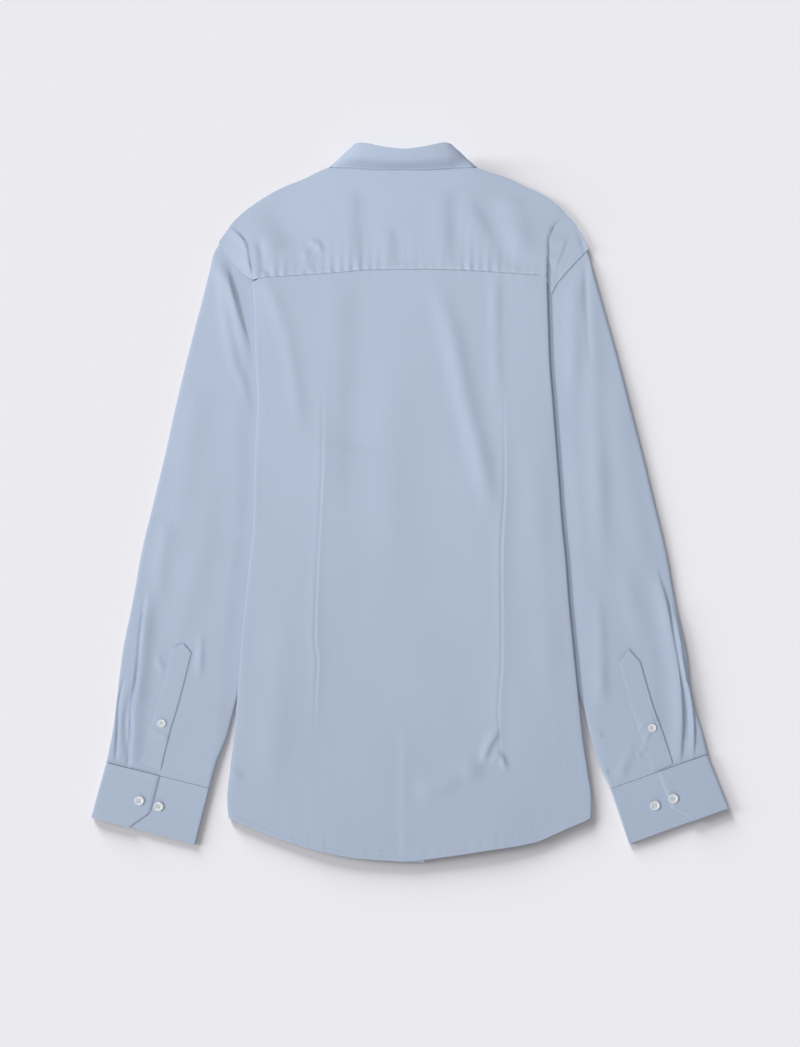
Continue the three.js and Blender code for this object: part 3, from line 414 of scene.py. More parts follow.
SLEEVE_CREASES = {
    "left": [
        {"line": [(-212, 277), (-210.7, 243), (-204, 192.6), (-196, 148)], "width": 6, "rise": 1.1},
        {"line": [(-207.3, 275), (-199.5, 237.4), (-189.4, 203.8), (-177, 165), (-170, 141)], "width": 8,
         "rise": 2.2, "form": "pleat", "falls": -1},
        {"line": [(-191, 148), (-179, 114), (-173, 97)], "width": 6, "rise": 0.9},
        {"line": [(-270, -20), (-278, -65), (-281, -110)], "width": 9, "rise": 0.9},
        {"line": [(-294, -112), (-298.1, -143), (-301, -177), (-305, -211), (-308.4, -233), (-309, -243),
                  (-309, -256), (-312.6, -300)], "width": 10, "rise": 2.3, "form": "pleat"},
        {"line": [(-297.4, -112), (-301.5, -143), (-304.4, -177), (-308.4, -211), (-312, -235),
                  (-312.4, -256), (-316, -300)], "width": 1.7, "rise": -1.5},
        {"line": [(-309, -205), (-318, -243), (-315, -292)], "width": 3.5, "rise": -0.9},
        {"line": [(-321, -200), (-325.5, -222), (-327.2, -252), (-329, -292)], "width": 1.7, "rise": -1.4},
        {"line": [(-233.6, -150), (-235.9, -195)], "width": 4, "rise": 0.7},
        {"line": [(-283, -172), (-276, -190)], "width": 4, "rise": 0.6},
        {"line": [(-292, -254), (-270, -264)], "width": 3, "rise": 0.5},
        {"line": [(-238, 120), (-252, 20), (-262, -60)], "width": 16, "rise": 0.8},
        {"line": [(-222, 20), (-240, -80), (-262, -150)], "width": 14, "rise": 0.7},
    ],
    "right": [
        {"line": [(205, 262), (203, 200), (207, 114), (214, -65)], "width": 11, "rise": 1.0},
        {"line": [(187, 268), (184, 204), (183, 120)], "width": 9, "rise": 0.9},
        {"line": [(195.6, 284), (196.6, 240), (198.4, 200), (201, 160)], "width": 3.2, "rise": -0.6},
        {"line": [(210, -110), (213, -166), (214, -222)], "width": 7, "rise": 0.9},
        {"line": [(279, -88), (285.5, -110), (291.6, -143), (300.5, -195), (304, -240), (302, -288)],
         "width": 9, "rise": 2.0, "form": "pleat", "falls": -1},
        {"line": [(294, -118), (300, -143), (308, -194), (313.5, -216), (317, -250), (317, -284)],
         "width": 5, "rise": 1.5, "form": "pleat", "falls": -1},
        {"line": [(307, -194), (311, -227), (312, -268)], "width": 3, "rise": -0.7},
        {"line": [(306, -268), (332, -271)], "width": 3, "rise": 0.6},
        {"line": [(272, -147), (276, -195), (279.5, -240)], "width": 6, "rise": -0.5, "form": "step"},
        {"line": [(262, -268), (268, -256.5)], "width": 2.5, "rise": 0.5},
        {"line": [(254, -283.5), (263.5, -273)], "width": 3, "rise": 0.5},
        {"line": [(233, -310), (242, -288), (250, -271)], "width": 6, "rise": 0.6},
        {"line": [(200, -259), (216, -261)], "width": 3, "rise": 0.6},
        {"line": [(206, -299), (222, -303)], "width": 3, "rise": 0.6},
        {"line": [(257, -251.5), (269, -244.4), (281, -243.5)], "width": 2.8, "rise": 0.6},
        {"line": [(228, 130), (244, 20), (262, -80)], "width": 15, "rise": 0.8},
        {"line": [(238, -60), (250, -120), (262, -160)], "width": 12, "rise": 0.6},
    ],
}
FRONT_CREASES = {
    -1: [
        {"line": [(-60, 210), (-76, 90), (-70, -30)], "width": 14, "rise": 0.8},
        {"line": [(-50, -60), (-62, -200), (-58, -330)], "width": 15, "rise": 0.7},
        {"line": [(-110, -250), (-128, -330)], "width": 9, "rise": 0.6},
        {"line": [(-38, -300), (-60, -372)], "width": 8, "rise": 0.7},
    ],
    1: [
        {"line": [(52, 190), (64, 80), (58, -60)], "width": 15, "rise": 0.8},
        {"line": [(70, -90), (62, -220), (76, -330)], "width": 13, "rise": 0.7},
        {"line": [(116, -270), (128, -340)], "width": 9, "rise": 0.6},
        {"line": [(96, 240), (84, 200)], "width": 8, "rise": 0.5},
    ],
}

# Buttons: name, x, y and the height of the cloth under each.
CUFF_BUTTONS = [
    ("button_cuff_left_outer", -302.5, -333.8, 6.2), ("button_cuff_left_inner", -281.3, -340.6, 4),
    ("button_cuff_right_outer", 294.2, -331.3, 6.2), ("button_cuff_right_inner", 274, -339.4, 4),
]
PLACKET_BUTTONS = [
    ("button_sleeve_left", "left", -277.5, -247.4), ("button_sleeve_right", "right", 270.6, -252.4),
]
FRONT_BUTTON_YS = [314, 236, 148, 60, -28, -116, -204]
FRONT_BUTTON_BASE = 0.2
SLEEVE_BUTTON_LIFT = 0.6
CUFF_BUTTON_THICK = 2.2
SLEEVE_BUTTON_THICK = 2
FRONT_BUTTON_THICK = 2.2
# Half the section of a button: share of the radius and share of the thickness.
BUTTON_PROFILE = [
    (0, 0.62), (0.2, 0.6), (0.42, 0.6), (0.56, 0.64), (0.66, 0.8), (0.74, 0.97), (0.82, 1.0), (0.9, 0.97),
    (0.97, 0.84), (1.0, 0.62), (1.0, 0.4), (0.95, 0.18), (0.85, 0.04), (0.7, 0.0), (0.35, 0.0), (0.0, 0.0),
]
BUTTON_TURNS = 64
BUTTON_RINGS = 68
# The holes: where their walls start and end, as shares of the radius, and the thickness left at their floor.
HOLE_WALL = (0.155, 0.115)
HOLE_FLOOR = 0.16
# The thread through the holes. Its height, arch and dip at the ends are shares of the button's thickness.
THREAD_SIDES = 6
THREAD_RINGS = 9
THREAD_RADIUS = 0.42
THREAD_END_RADIUS = 0.3
THREAD_FLAT = 0.8
THREAD_HEIGHT = 0.66
THREAD_ARCH = 0.1
THREAD_SINKS = 0.4

# One stitch: places along it and how full the thread is there.
STITCH_SHARES = np.array([0.0, 0.22, 0.5, 0.78, 1.0])
STITCH_SWELL = np.array([0.35, 0.85, 1.0, 0.85, 0.35])
STITCH_SIDES = 5
STITCH_SPAN = 0.8
# Points along each part of a line of sewing.
SEAM_SAMPLES = 800

# Distant lamps: the way they stand and their height in degrees, the angle they fill, and what they light.
SUNS = [
    {"name": "key", "heading": 174, "level": 41, "softness": 5, "lights": "lit_cloth"},
    {"name": "paper_key", "heading": 166, "level": 15, "softness": 24, "lights": "lit_paper"},
    {"name": "side", "heading": 255, "level": 32, "softness": 40, "lights": "lit_cloth"},
    {"name": "shadow", "heading": 119, "level": 13.5, "softness": 22, "lights": "lit_paper"},
    {"name": "paper_top", "heading": 119, "level": 75, "softness": 50, "lights": "lit_paper"},
]
OVERHEAD_SIZE = 0.6
OVERHEAD_PLACE = (-0.35, 0.35, 1.3)
FLOOR_HALF = 4000

# The photograph's view: straight down, with this point of the shirt in the middle of the frame.
VIEW_CENTRE = (-11.3, -24.1)
VIEW_LENGTH = 1172.6
LENS = 85
SENSOR = 36


def linear(code):
    """The linear colour of an sRGB hex value."""
    parts = [int(code[i:i + 2], 16) / 255 for i in (0, 2, 4)]
    return tuple(p / 12.92 if p <= 0.04045 else ((p + 0.055) / 1.055) ** 2.4 for p in parts)


def mix(a, b, t):
    return a + (b - a) * t


def ease(start, end, at):
    """0 before start, 1 after end, and smooth between them."""
    t = np.clip((np.asarray(at, float) - start) / (end - start), 0, 1)
    return t * t * (3 - 2 * t)


def through(rows, column=1):
    """A smooth curve through one column of a table, keyed by its first column, with no overshoot."""
    table = np.asarray(sorted(rows), float)
    keys, values = table[:, 0], table[:, column]
    step = np.diff(keys)
    slope = np.diff(values) / step
    tangent = np.concatenate([[slope[0]], np.zeros(len(step) - 1), [slope[-1]]])
    same = slope[:-1] * slope[1:] > 0
    before, after = slope[:-1][same], slope[1:][same]
    tangent[1:-1][same] = 2 * before * after / (before + after)

    def at(x):
        x = np.clip(np.asarray(x, float), keys[0], keys[-1])
        i = np.clip(np.searchsorted(keys, x) - 1, 0, len(step) - 1)
        h = step[i]
        t = (x - keys[i]) / h
        rest = 1 - t
        ends = values[i] * (1 + 2 * t) * rest ** 2 + values[i + 1] * (3 - 2 * t) * t ** 2
        return ends + h * t * rest * (tangent[i] * rest - tangent[i + 1] * t)

    return at


def curve_through(points, steps=24):
    """Points close together on a smooth curve through the given ones."""
    given = np.asarray(points, float)
    reach = np.vstack([2 * given[0] - given[1], given, 2 * given[-1] - given[-2]])
    t = np.linspace(0, 1, steps, endpoint=False)[:, None]
    parts = []
    for i in range(1, len(reach) - 2):
        p0, p1, p2, p3 = reach[i - 1:i + 3]
        d0, d1, d2 = [max(np.linalg.norm(b - a) ** 0.5, 1e-4) for a, b in ((p0, p1), (p1, p2), (p2, p3))]
        start = d1 * ((p1 - p0) / d0 - (p2 - p0) / (d0 + d1) + (p2 - p1) / d1)
        end = d1 * ((p2 - p1) / d1 - (p3 - p1) / (d1 + d2) + (p3 - p2) / d2)
        parts.append(
            p1 * (2 * t ** 3 - 3 * t ** 2 + 1) + start * (t ** 3 - 2 * t ** 2 + t)
            + p2 * (3 * t ** 2 - 2 * t ** 3) + end * (t ** 3 - t ** 2)
        )
    return np.vstack(parts + [given[-1:]])


def run_along(line):
    """The distance along a line of each of its points."""
    return np.concatenate([[0], np.cumsum(np.linalg.norm(np.diff(line, axis=0), axis=1))])


def along(points, steps=24):
    """Gives the point at a share of the length of the smooth curve through points."""
    fine = curve_through(points, steps)
    run = run_along(fine)
    run /= run[-1]
    return lambda share: np.stack([np.interp(share, run, fine[:, k]) for k in range(fine.shape[1])], axis=-1)


def crease_height(x, y, line, width, rise, form="ridge", falls=1):
    """The height one crease adds. A pleat is steep on one side of its crest, and a step comes back to the
    level of the cloth only some widths away on either side."""
    flat_x, flat_y = np.ravel(x), np.ravel(y)
    height = np.zeros(flat_x.shape)
    fine = along(line)(np.linspace(0, 1, CREASE_SAMPLES))
    reach = width * CREASE_REACHES[form]
    low, high = fine.min(axis=0) - reach, fine.max(axis=0) + reach
    near = (flat_x > low[0]) & (flat_x < high[0]) & (flat_y > low[1]) & (flat_y < high[1])
    if not near.any():
        return height.reshape(np.shape(x))
    here = np.stack([flat_x[near], flat_y[near]], axis=-1)
    gap = ((here[:, None, :] - fine[None, :, :]) ** 2).sum(axis=-1)
    i = gap.argmin(axis=1)
    heading = np.gradient(fine, axis=0)
    heading /= np.linalg.norm(heading, axis=1)[:, None]
    off = here - fine[i]
    aside = off[:, 1] * heading[i, 0] - off[:, 0] * heading[i, 1]
    past = off[:, 0] * heading[i, 0] + off[:, 1] * heading[i, 1]
    share = i / (CREASE_SAMPLES - 1) + past / CREASE_SAMPLES / np.linalg.norm(fine[1] - fine[0])
    fade = ease(*CREASE_STARTS, share) * ease(*CREASE_ENDS, share)
    # No crease is the same all along: two slow waves vary it.
    varied = 1 + 0.22 * np.sin(5.1 * share + line[0][0]) + 0.12 * np.sin(13 * share + line[0][1])
    if form == "step":
        profile = np.tanh(aside / width) * np.exp(-(aside / (3 * width)) ** 2) * 0.5
    elif form == "pleat":
        side = aside * falls
        profile = np.exp(-(np.where(side > 0, side, side * 5) / width) ** 2)
    else:
        profile = np.exp(-(aside / width) ** 2)
    height[near] = rise * profile * fade * varied
    return height.reshape(np.shape(x))


def creased(x, y, table, depth=1):
    """The height of all the creases in a table."""
    return depth * sum(crease_height(x, y, **row) for row in table)


def uneven(x, y, seed, wave, amount):
    """The slight unevenness of pressed cloth: many long waves that cross, the same on each run."""
    rng = np.random.default_rng(seed)
    total = 0
    for _ in range(16):
        angle = rng.uniform(0, 2 * math.pi)
        length = wave * rng.uniform(0.6, 1.8)
        phase = rng.uniform(0, 2 * math.pi)
        share = rng.normal()
        run = x * math.cos(angle) + y * math.sin(angle)
        total = total + share * np.sin(run * 2 * math.pi / length + phase)
    return amount * total / 4


def puckers(run, off, seed, pitch=9, reach=5, amount=0.3):
    """Small gathers along a seam: run is the distance along it and off the distance from it."""
    rng = np.random.default_rng(seed)
    total = 0
    for _ in range(5):
        length = pitch * rng.uniform(0.7, 1.9)
        total = total + rng.normal() * np.sin(run * 2 * math.pi / length + rng.uniform(0, 2 * math.pi))
    return amount * total / 2.4 * np.exp(-np.abs(off) / reach)


def groove(distance, middle, depth, width=0.9):
    """The dip of the cloth along a line of sewing, by the distance across it."""
    return depth * np.exp(-((distance - middle) / width) ** 2)


# Places that the pieces share.
fold_left = through(SIDE_FOLDS, 1)
fold_right = through(SIDE_FOLDS, 2)
hem_y = through(HEM)
yoke_seam_y = through(YOKE_SEAM)
shoulder_y = through(SHOULDERS)
tuck_x = through(YOKE_TUCK)
side_turn = through(SIDE_TURNS)
yoke_columns = [through([(i, row[k]) for i, row in enumerate(YOKE_LINES)]) for k in range(5)]


def fold_x(side, y):
    return fold_left(y) if side < 0 else fold_right(y)


def pile_height(y):
    return SLEEVE_PILE * ease(-350, -214, y)


def turn_in(y):
    """How far the cloth runs in under the side fold."""
    y = np.asarray(y, float)
    t = np.clip((ARMHOLE_HIDES_Y - y) / (ARMHOLE_HIDES_Y - UNDERARM_Y), 0, 1)
    armhole = mix(LEAST_TURN, UNDERARM_TURN, 1 - np.sqrt(1 - t * t))
    return np.where(y <= UNDERARM_Y, side_turn(y), armhole)


def seam_x(side, y):
    return fold_x(side, y) - side * turn_in(y)


def past_seam(x, y):
    """Distance out past the nearer edge of the turned-in cloth, negative inside it."""
    lead = np.where(y > UNDERARM_Y, np.maximum(y - UNDERARM_LEAD, UNDERARM_Y), y)
    return np.maximum(fold_left(y) + turn_in(lead) - x, x - fold_right(y) + turn_in(lead))


def back_height(x, y):
    sides = pile_height(y) + ON_FLOOR + 3 * PITCH
    return mix(BACK_CENTRE, sides, ease(-70, -5, past_seam(x, y)))


def middle_x(y):
    share = np.clip((np.asarray(y, float) - FRONT_HEM_Y) / (FRONT_TOP[1] - FRONT_HEM_Y), 0, 1)
    return mix(0, FRONT_TOP[0], share)


def spaced(start, end, step):
    """Even places from start to end, about step apart, both ends included."""
    count = max(1, round(abs(end - start) / step))
    return np.linspace(start, end, count + 1)


def grid_places(name):
    """The places of the columns or rows of a cloth's grid."""
    parts = [spaced(*part) if isinstance(part, tuple) else [part] for part in GRID_PLACES[name]]
    return np.concatenate(parts)


def grid_cut(across, down):
    """The place on the cut piece of each point of a grid."""
    return np.stack(np.meshgrid(across, down, indexing="ij"), axis=-1)


def grid_normals(grid, wraps):
    """Unit normals at the points of a grid."""
    rows = np.concatenate([grid, grid[:1]], axis=0) if wraps else grid
    across = rows[1:, 1:] - rows[:-1, :-1]
    down = rows[:-1, 1:] - rows[1:, :-1]
    face = np.cross(across, down)
    face /= np.maximum(np.linalg.norm(face, axis=2, keepdims=True), 1e-9)
    normals = np.zeros(rows.shape)
    for c in (0, 1):
        for r in (0, 1):
            normals[c:c + face.shape[0], r:r + face.shape[1]] += face
    if wraps:
        normals[0] += normals[-1]
        normals = normals[:-1]
    return normals / np.maximum(np.linalg.norm(normals, axis=2, keepdims=True), 1e-9)


class Cloth:
    """Cloth on a grid of points in its middle, columns by rows, with each point's place on the cut piece."""

    def __init__(self, grid, cut, wall=POPLIN, wraps=False, leave_out=None):
        self.grid = np.asarray(grid, float)
        self.cut = np.asarray(cut, float)
        self.wall = wall
        self.wraps = wraps
        self.normals = grid_normals(self.grid, wraps)
        self.leave_out = leave_out

    def face(self, side):
        """The points of one face: side 1 or -1."""
        return self.grid + self.normals * side * self.wall / 2

    def quads(self):
        columns, rows = self.grid.shape[:2]
        wide = columns if self.wraps else columns - 1
        c, r = np.meshgrid(np.arange(wide), np.arange(rows - 1), indexing="ij")
        after = (c + 1) % columns
        quads = np.stack([c * rows + r, after * rows + r, after * rows + r + 1, c * rows + r + 1], axis=-1)
        kept = np.ones(c.shape, bool) if self.leave_out is None else ~self.leave_out
        return quads[kept]

    def mesh(self, name):
        """A closed mesh: both faces, joined along each free edge."""
        quads = self.quads()
        count = self.grid.shape[0] * self.grid.shape[1]
        start = quads.ravel()
        end = np.roll(quads, -1, axis=1).ravel()
        free = ~np.isin(end * count + start, start * count + end)
        start, end = start[free], end[free]
        rims = np.stack([end, start, count + start, count + end], axis=-1)
        faces = np.vstack([quads, count + quads[:, ::-1], rims])
        points = np.vstack([self.face(1).reshape(-1, 3), self.face(-1).reshape(-1, 3)])
        corners = points[faces]
        volume = np.einsum("ij,ij->i", corners[:, 0], np.cross(corners[:, 1], corners[:, 2])).sum()
        if volume < 0:
            faces = faces[:, ::-1]
        return mesh_of(name, points, faces, np.tile(self.cut.reshape(-1, 2), (2, 1)))


def mesh_of(name, points, faces, cut=None):
    """A smooth-shaded mesh in metres from points in millimetres, without the points that no face uses."""
    used = np.zeros(len(points), bool)
    used[np.ravel(faces)] = True
    place = np.cumsum(used) - 1
    faces = place[faces]
    mesh = bpy.data.meshes.new(name)
    mesh.from_pydata((points[used] * MM).tolist(), [], faces.tolist())
    if cut is not None:
        layer = mesh.uv_layers.new(name="cut")
        layer.data.foreach_set("uv", (cut[used][faces.ravel()] * MM).ravel())
    mesh.polygons.foreach_set("use_smooth", [True] * len(mesh.polygons))
    mesh.set_sharp_from_angle(angle=math.radians(48))
    mesh.update()
    return mesh


def place_piece(name, mesh, material, nodes=()):
    """Puts a piece in the scene, on the shirt's one body and in place of its solids."""
    piece = bpy.data.objects.new(name, mesh)
    bpy.context.scene.collection.objects.link(piece)
    mesh.materials.append(material)
    bpy.data.collections["lit_cloth"].objects.link(piece)
    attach(piece, "root")
    if nodes:
        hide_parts(*nodes)
    return piece


def surface_point(face, c, r):
    """Points of a face of the cloth at fractions of columns and rows."""
    c = np.clip(c, 0, face.shape[0] - 1.001)
    r = np.clip(r, 0, face.shape[1] - 1.001)
    i, j = c.astype(int), r.astype(int)
    s, t = (c - i)[..., None], (r - j)[..., None]
    return mix(mix(face[i, j], face[i + 1, j], s), mix(face[i, j + 1], face[i + 1, j + 1], s), t)


def seam_run(cloth, side, path):
    """A line of sewing on one face of the cloth, along a path of columns and rows: points and normals."""
    way = np.asarray(path, float)
    shares = np.linspace(0, 1, SEAM_SAMPLES, endpoint=False)[:, None]
    steps = [shares * (b - a) + a for a, b in zip(way[:-1], way[1:])]
    c, r = np.vstack(steps + [way[-1:]]).T
    return surface_point(cloth.face(side), c, r), surface_point(cloth.normals * side, c, r)


def tube_faces(rings, sides, base):
    """The faces of a tube of thread, ring by ring, from the number of its first point."""
    ring = np.arange(sides)
    after = (ring + 1) % sides
    first = np.stack([ring, after, sides + after, sides + ring], axis=-1)
    return [base + step * sides + first for step in range(rings - 1)]


def stitches(name, runs, sewing, material):
    """Lockstitch: a short bead of thread for each stitch, a little sunk in the cloth."""
    pitch = sewing.stitch_length * METRE
    radius = sewing.thread_width * METRE / 2
    rings = len(STITCH_SHARES)
    angles = np.arange(STITCH_SIDES) * 2 * math.pi / STITCH_SIDES
    arch = 0.9 * np.sin(STITCH_SHARES * math.pi)[:, None] - 0.25
    points, faces = [], []
    for line, normals in runs:
        run = run_along(line)
        for at in np.arange(pitch * 0.3, run[-1] - pitch * STITCH_SPAN, pitch):
            places = at + STITCH_SHARES * pitch * STITCH_SPAN
            middle = np.stack([np.interp(places, run, line[:, k]) for k in range(3)], axis=-1)
            up = np.array([np.interp(at, run, normals[:, k]) for k in range(3)])
            up /= np.linalg.norm(up)
            heading = middle[-1] - middle[0]
            heading /= np.linalg.norm(heading)
            across = np.cross(heading, up)
            spokes = np.cos(angles)[:, None] * across + np.sin(angles)[:, None] * up
            faces += tube_faces(rings, STITCH_SIDES, len(points) * STITCH_SIDES)
            for centre, swell in zip(middle + up * radius * arch, STITCH_SWELL):
                points.append(centre + spokes * radius * swell)
    mesh = mesh_of(name, np.vstack(points), np.vstack(faces))
    return place_piece(name, mesh, material)


def add_node(tree, kind, settings=None, inputs=None, links=()):
    """Adds one shader node with its settings, input values and links to its inputs."""
    node = tree.nodes.new(kind)
    for key, value in (settings or {}).items():
        setattr(node, key, value)
    for key, value in (inputs or {}).items():
        node.inputs[key].default_value = value
    for output, key in links:
        tree.links.new(output, node.inputs[key])
    return node


def new_material(name):
    """An empty material with a surface shader, or the one already made."""
    made = bpy.data.materials.get(name)
    if made:
        return made, None, None
    material = bpy.data.materials.new(name)
    material.use_nodes = True
    tree = material.node_tree
    return material, tree, tree.nodes["Principled BSDF"]


def cotton_poplin(cloth):
    """Cotton poplin, plain woven from fine yarn and pressed: a matt, even face with a faint lengthwise streak
    where warp yarns differ, a fine weave and a little sheen at grazing angles."""
    material, tree, shader = new_material("pressed_cotton_poplin")
    if tree is None:
        return material
    colour = tuple(cloth.poplin_colour)
    place = add_node(tree, "ShaderNodeUVMap", {"uv_map": "cut"})
    # Warp streaks: yarns are 0.25 mm apart, and the streaks that show are bundles 1.2 mm wide.
    streak_scale = add_node(tree, "ShaderNodeMapping", {}, {"Scale": (1 / 0.0024, 1 / 0.09, 1)},
                            [(place.outputs["UV"], "Vector")])
    streaks = add_node(tree, "ShaderNodeTexNoise", {"noise_dimensions": "2D"},
                       {"Scale": 1, "Detail": 3, "Roughness": 0.6},
                       [(streak_scale.outputs["Vector"], "Vector")])
    cloudy = add_node(tree, "ShaderNodeTexNoise", {"noise_dimensions": "2D"},
                      {"Scale": 1 / 0.07, "Detail": 2, "Roughness": 0.5}, [(place.outputs["UV"], "Vector")])
    both = add_node(tree, "ShaderNodeMath", {"operation": "MULTIPLY_ADD"}, {1: 0.35},
                    [(cloudy.outputs["Fac"], 0), (streaks.outputs["Fac"], 2)])
    tint = add_node(tree, "ShaderNodeValToRGB", {}, {}, [(both.outputs["Value"], "Fac")])
    tint.color_ramp.elements[0].position = 0.35
    tint.color_ramp.elements[1].position = 1.0
    tint.color_ramp.elements[0].color = tuple(c * 0.98 for c in colour) + (1,)
    tint.color_ramp.elements[1].color = tuple(min(1, c * 1.02) for c in colour) + (1,)
    tree.links.new(tint.outputs["Color"], shader.inputs["Base Color"])
    # The weave is 0.25 mm, too fine to show here, so it is drawn at 0.9 mm.
    waves = []
    for direction in ("X", "Y"):
        waves.append(add_node(tree, "ShaderNodeTexWave", {"bands_direction": direction},
                              {"Scale": 1 / 0.0009 / 6.2832 * 2, "Distortion": 0.4, "Detail": 1},
                              [(place.outputs["UV"], "Vector")]))
    weave = add_node(tree, "ShaderNodeMath", {"operation": "ADD"}, {},
                     [(waves[0].outputs["Fac"], 0), (waves[1].outputs["Fac"], 1)])
    bump = add_node(tree, "ShaderNodeBump", {}, {"Strength": 0.12, "Distance": 0.0001},
                    [(weave.outputs["Value"], "Height")])
    tree.links.new(bump.outputs["Normal"], shader.inputs["Normal"])
    shader.inputs["Roughness"].default_value = 0.82
    shader.inputs["Specular IOR Level"].default_value = 0.25
    shader.inputs["Sheen Weight"].default_value = 0.12
    shader.inputs["Sheen Roughness"].default_value = 0.5
    return material


def spun_thread(cloth):
    """Spun polyester thread a shade lighter than the cloth, with a soft lustre."""
    material, tree, shader = new_material("spun_polyester_thread")
    if tree is None:
        return material
    place = add_node(tree, "ShaderNodeTexCoord")
    ply = add_node(tree, "ShaderNodeTexNoise", {}, {"Scale": 1 / 0.0006, "Detail": 1},
                   [(place.outputs["Object"], "Vector")])
    tint = add_node(tree, "ShaderNodeValToRGB", {}, {}, [(ply.outputs["Fac"], "Fac")])
    tint.color_ramp.elements[0].color = tuple(c * 0.9 for c in cloth.thread_colour) + (1,)
    tint.color_ramp.elements[1].color = tuple(cloth.thread_colour) + (1,)
    tree.links.new(tint.outputs["Color"], shader.inputs["Base Color"])
    shader.inputs["Roughness"].default_value = 0.6
    return material


def pearl_polyester(buttons):
    """Cast polyester with a pearl pigment, tumble polished: white with grey swirls under a clear gloss."""
    material, tree, shader = new_material("pearl_polyester")
    if tree is None:
        return material
    place = add_node(tree, "ShaderNodeTexCoord")
    swirl = add_node(tree, "ShaderNodeTexNoise", {}, {"Scale": 1 / 0.005, "Detail": 3, "Distortion": 1.4},
                     [(place.outputs["Object"], "Vector")])
    tint = add_node(tree, "ShaderNodeValToRGB", {}, {}, [(swirl.outputs["Fac"], "Fac")])
    tint.color_ramp.elements[0].position = 0.3
    tint.color_ramp.elements[1].position = 0.7
    tint.color_ramp.elements[0].color = tuple(c * 0.86 for c in buttons.pearl_colour) + (1,)
    tint.color_ramp.elements[1].color = tuple(buttons.pearl_colour) + (1,)
    tree.links.new(tint.outputs["Color"], shader.inputs["Base Color"])
    shader.inputs["Roughness"].default_value = 0.22
    shader.inputs["IOR"].default_value = 1.55
    shader.inputs["Coat Weight"].default_value = 0.5
    shader.inputs["Coat Roughness"].default_value = 0.08
    return material


def side_fold(side, y, arcs, returns, radius, inset=0.0):
    """The turned-in side of the body: its round fold and the part that runs back in under it."""
    middle = fold_x(side, y) - side * (FOLD_REACH + inset)
    centre = pile_height(y) + ON_FLOOR + FOLD_RADIUS
    places = []
    for step in range(arcs + 1):
        angle = math.pi / 2 - math.pi * step / arcs
        places.append((middle + side * radius * math.cos(angle), y, centre + radius * math.sin(angle)))
    for step in range(1, returns + 1):
        t = step / returns
        rise = HEM_SLANT * t * ease(HEM_SIDE_Y + HEM_SLANT_REACH, HEM_SIDE_Y, y)
        places.append((mix(middle, seam_x(side, y), t), y + rise, centre - radius + 0 * y))
    return np.stack([np.stack(np.broadcast_arrays(*place), axis=-1) for place in places])


def back_cloth():
    """The back from yoke seam to hem, with its darts, its creases and both turned-in sides."""
    length = YOKE_SIDE_Y - HEM_SIDE_Y
    down = np.concatenate([NEAR_SEAM, spaced(6.8, length - 12, BACK_MESH), length - np.array(NEAR_HEM)])
    shares = down / length
    nominal = YOKE_SIDE_Y - down
    left_dart, right_dart = DART_COLUMNS
    middle = spaced(left_dart[1] + 3, right_dart[0] - 2, BACK_MESH)
    inner = np.concatenate([spaced(*left_dart, DART_MESH), middle, spaced(*right_dart, DART_MESH)])
    outer = (np.arange(1, SIDE_COLUMNS) / SIDE_COLUMNS) ** SIDE_COLUMNS_CLOSE
    flat = []
    for side, edge in ((-1, inner[0]), (1, inner[-1])):
        rim = fold_x(side, nominal) - side * FOLD_REACH
        flat.append([mix(rim, edge, share) for share in outer])
    columns = flat[0] + [np.full(nominal.shape, x) for x in inner] + flat[1][::-1]
    x = np.stack(columns)
    y = mix(yoke_seam_y(x) - SEAM_GAP / 2, hem_y(x), shares)
    plain = back_height(x, nominal[None, :] + 0 * x)
    z = plain + creased(x, y, BACK_CREASES, CREASE_DEPTHS["back"]) + uneven(x, y, **WAVES["back"])
    for dart in BACK_DARTS:
        beside = [(px + DART_ALLOWANCE_OUT, py) for px, py in dart]
        z = z + crease_height(x, y, dart, **DART_SWELL) + crease_height(x, y, dart, **DART_GROOVE)
        z = z + crease_height(x, y, beside, **DART_ALLOWANCE)
    from_hem = y - hem_y(x)
    z = z + puckers(x, yoke_seam_y(x) - y, **GATHERS["back"])
    z = z + puckers(x, from_hem - HEM_TURN, **GATHERS["hem"])
    z = z + HEM_RISE * ease(*HEM_STEP, from_hem) - groove(from_hem, **HEM_STITCH)
    from_fold = np.minimum(x - fold_left(nominal), fold_right(nominal) - x) - FOLD_REACH
    top = np.stack([x, y, mix(plain, z, ease(*FOLD_SMOOTHS, from_fold))], axis=-1)
    sides = {side: side_fold(side, nominal, FOLD_ARCS, FOLD_RETURNS, FOLD_RADIUS) for side in (-1, 1)}
    grid = np.concatenate([sides[-1][::-1], top, sides[1]])
    return Cloth(grid, grid_cut(run_along(grid[:, CUT_ROWS["back"]]), -down))


def yoke_plan(c, shares):
    """The yoke's lengthwise lines in plan, their height at the shoulder and their place at the seam."""
    start, end, bow, top = [column(c)[:, None] for column in yoke_columns[:4]]
    x = mix(start, end, shares) + bow * 4 * shares * (1 - shares)
    y = mix(yoke_seam_y(start) + SEAM_GAP / 2, shoulder_y(end), shares)
    return x, y, top, start


def yoke_pressed(x, y, z):
    """The yoke's height with its creases, its gathers along the seam and its topstitching."""
    above = y - yoke_seam_y(x)
    z = z + creased(x, y, YOKE_CREASES, CREASE_DEPTHS["yoke"]) * ease(0, 9, above)
    z = z + uneven(x, y, **WAVES["yoke"]) * ease(0, 12, above)
    gathered = LEAST_GATHERED
    for start, full_from, full_to, end in YOKE_GATHERED:
        gathered = gathered + ease(start, full_from, x) * ease(end, full_to, x)
    z = z + puckers(x, above, **GATHERS["yoke"]) * gathered * ease(0, 2, above)
    return z - groove(above, **YOKE_STITCH) + YOKE_SEAM_RISE * ease(7, 5, above)


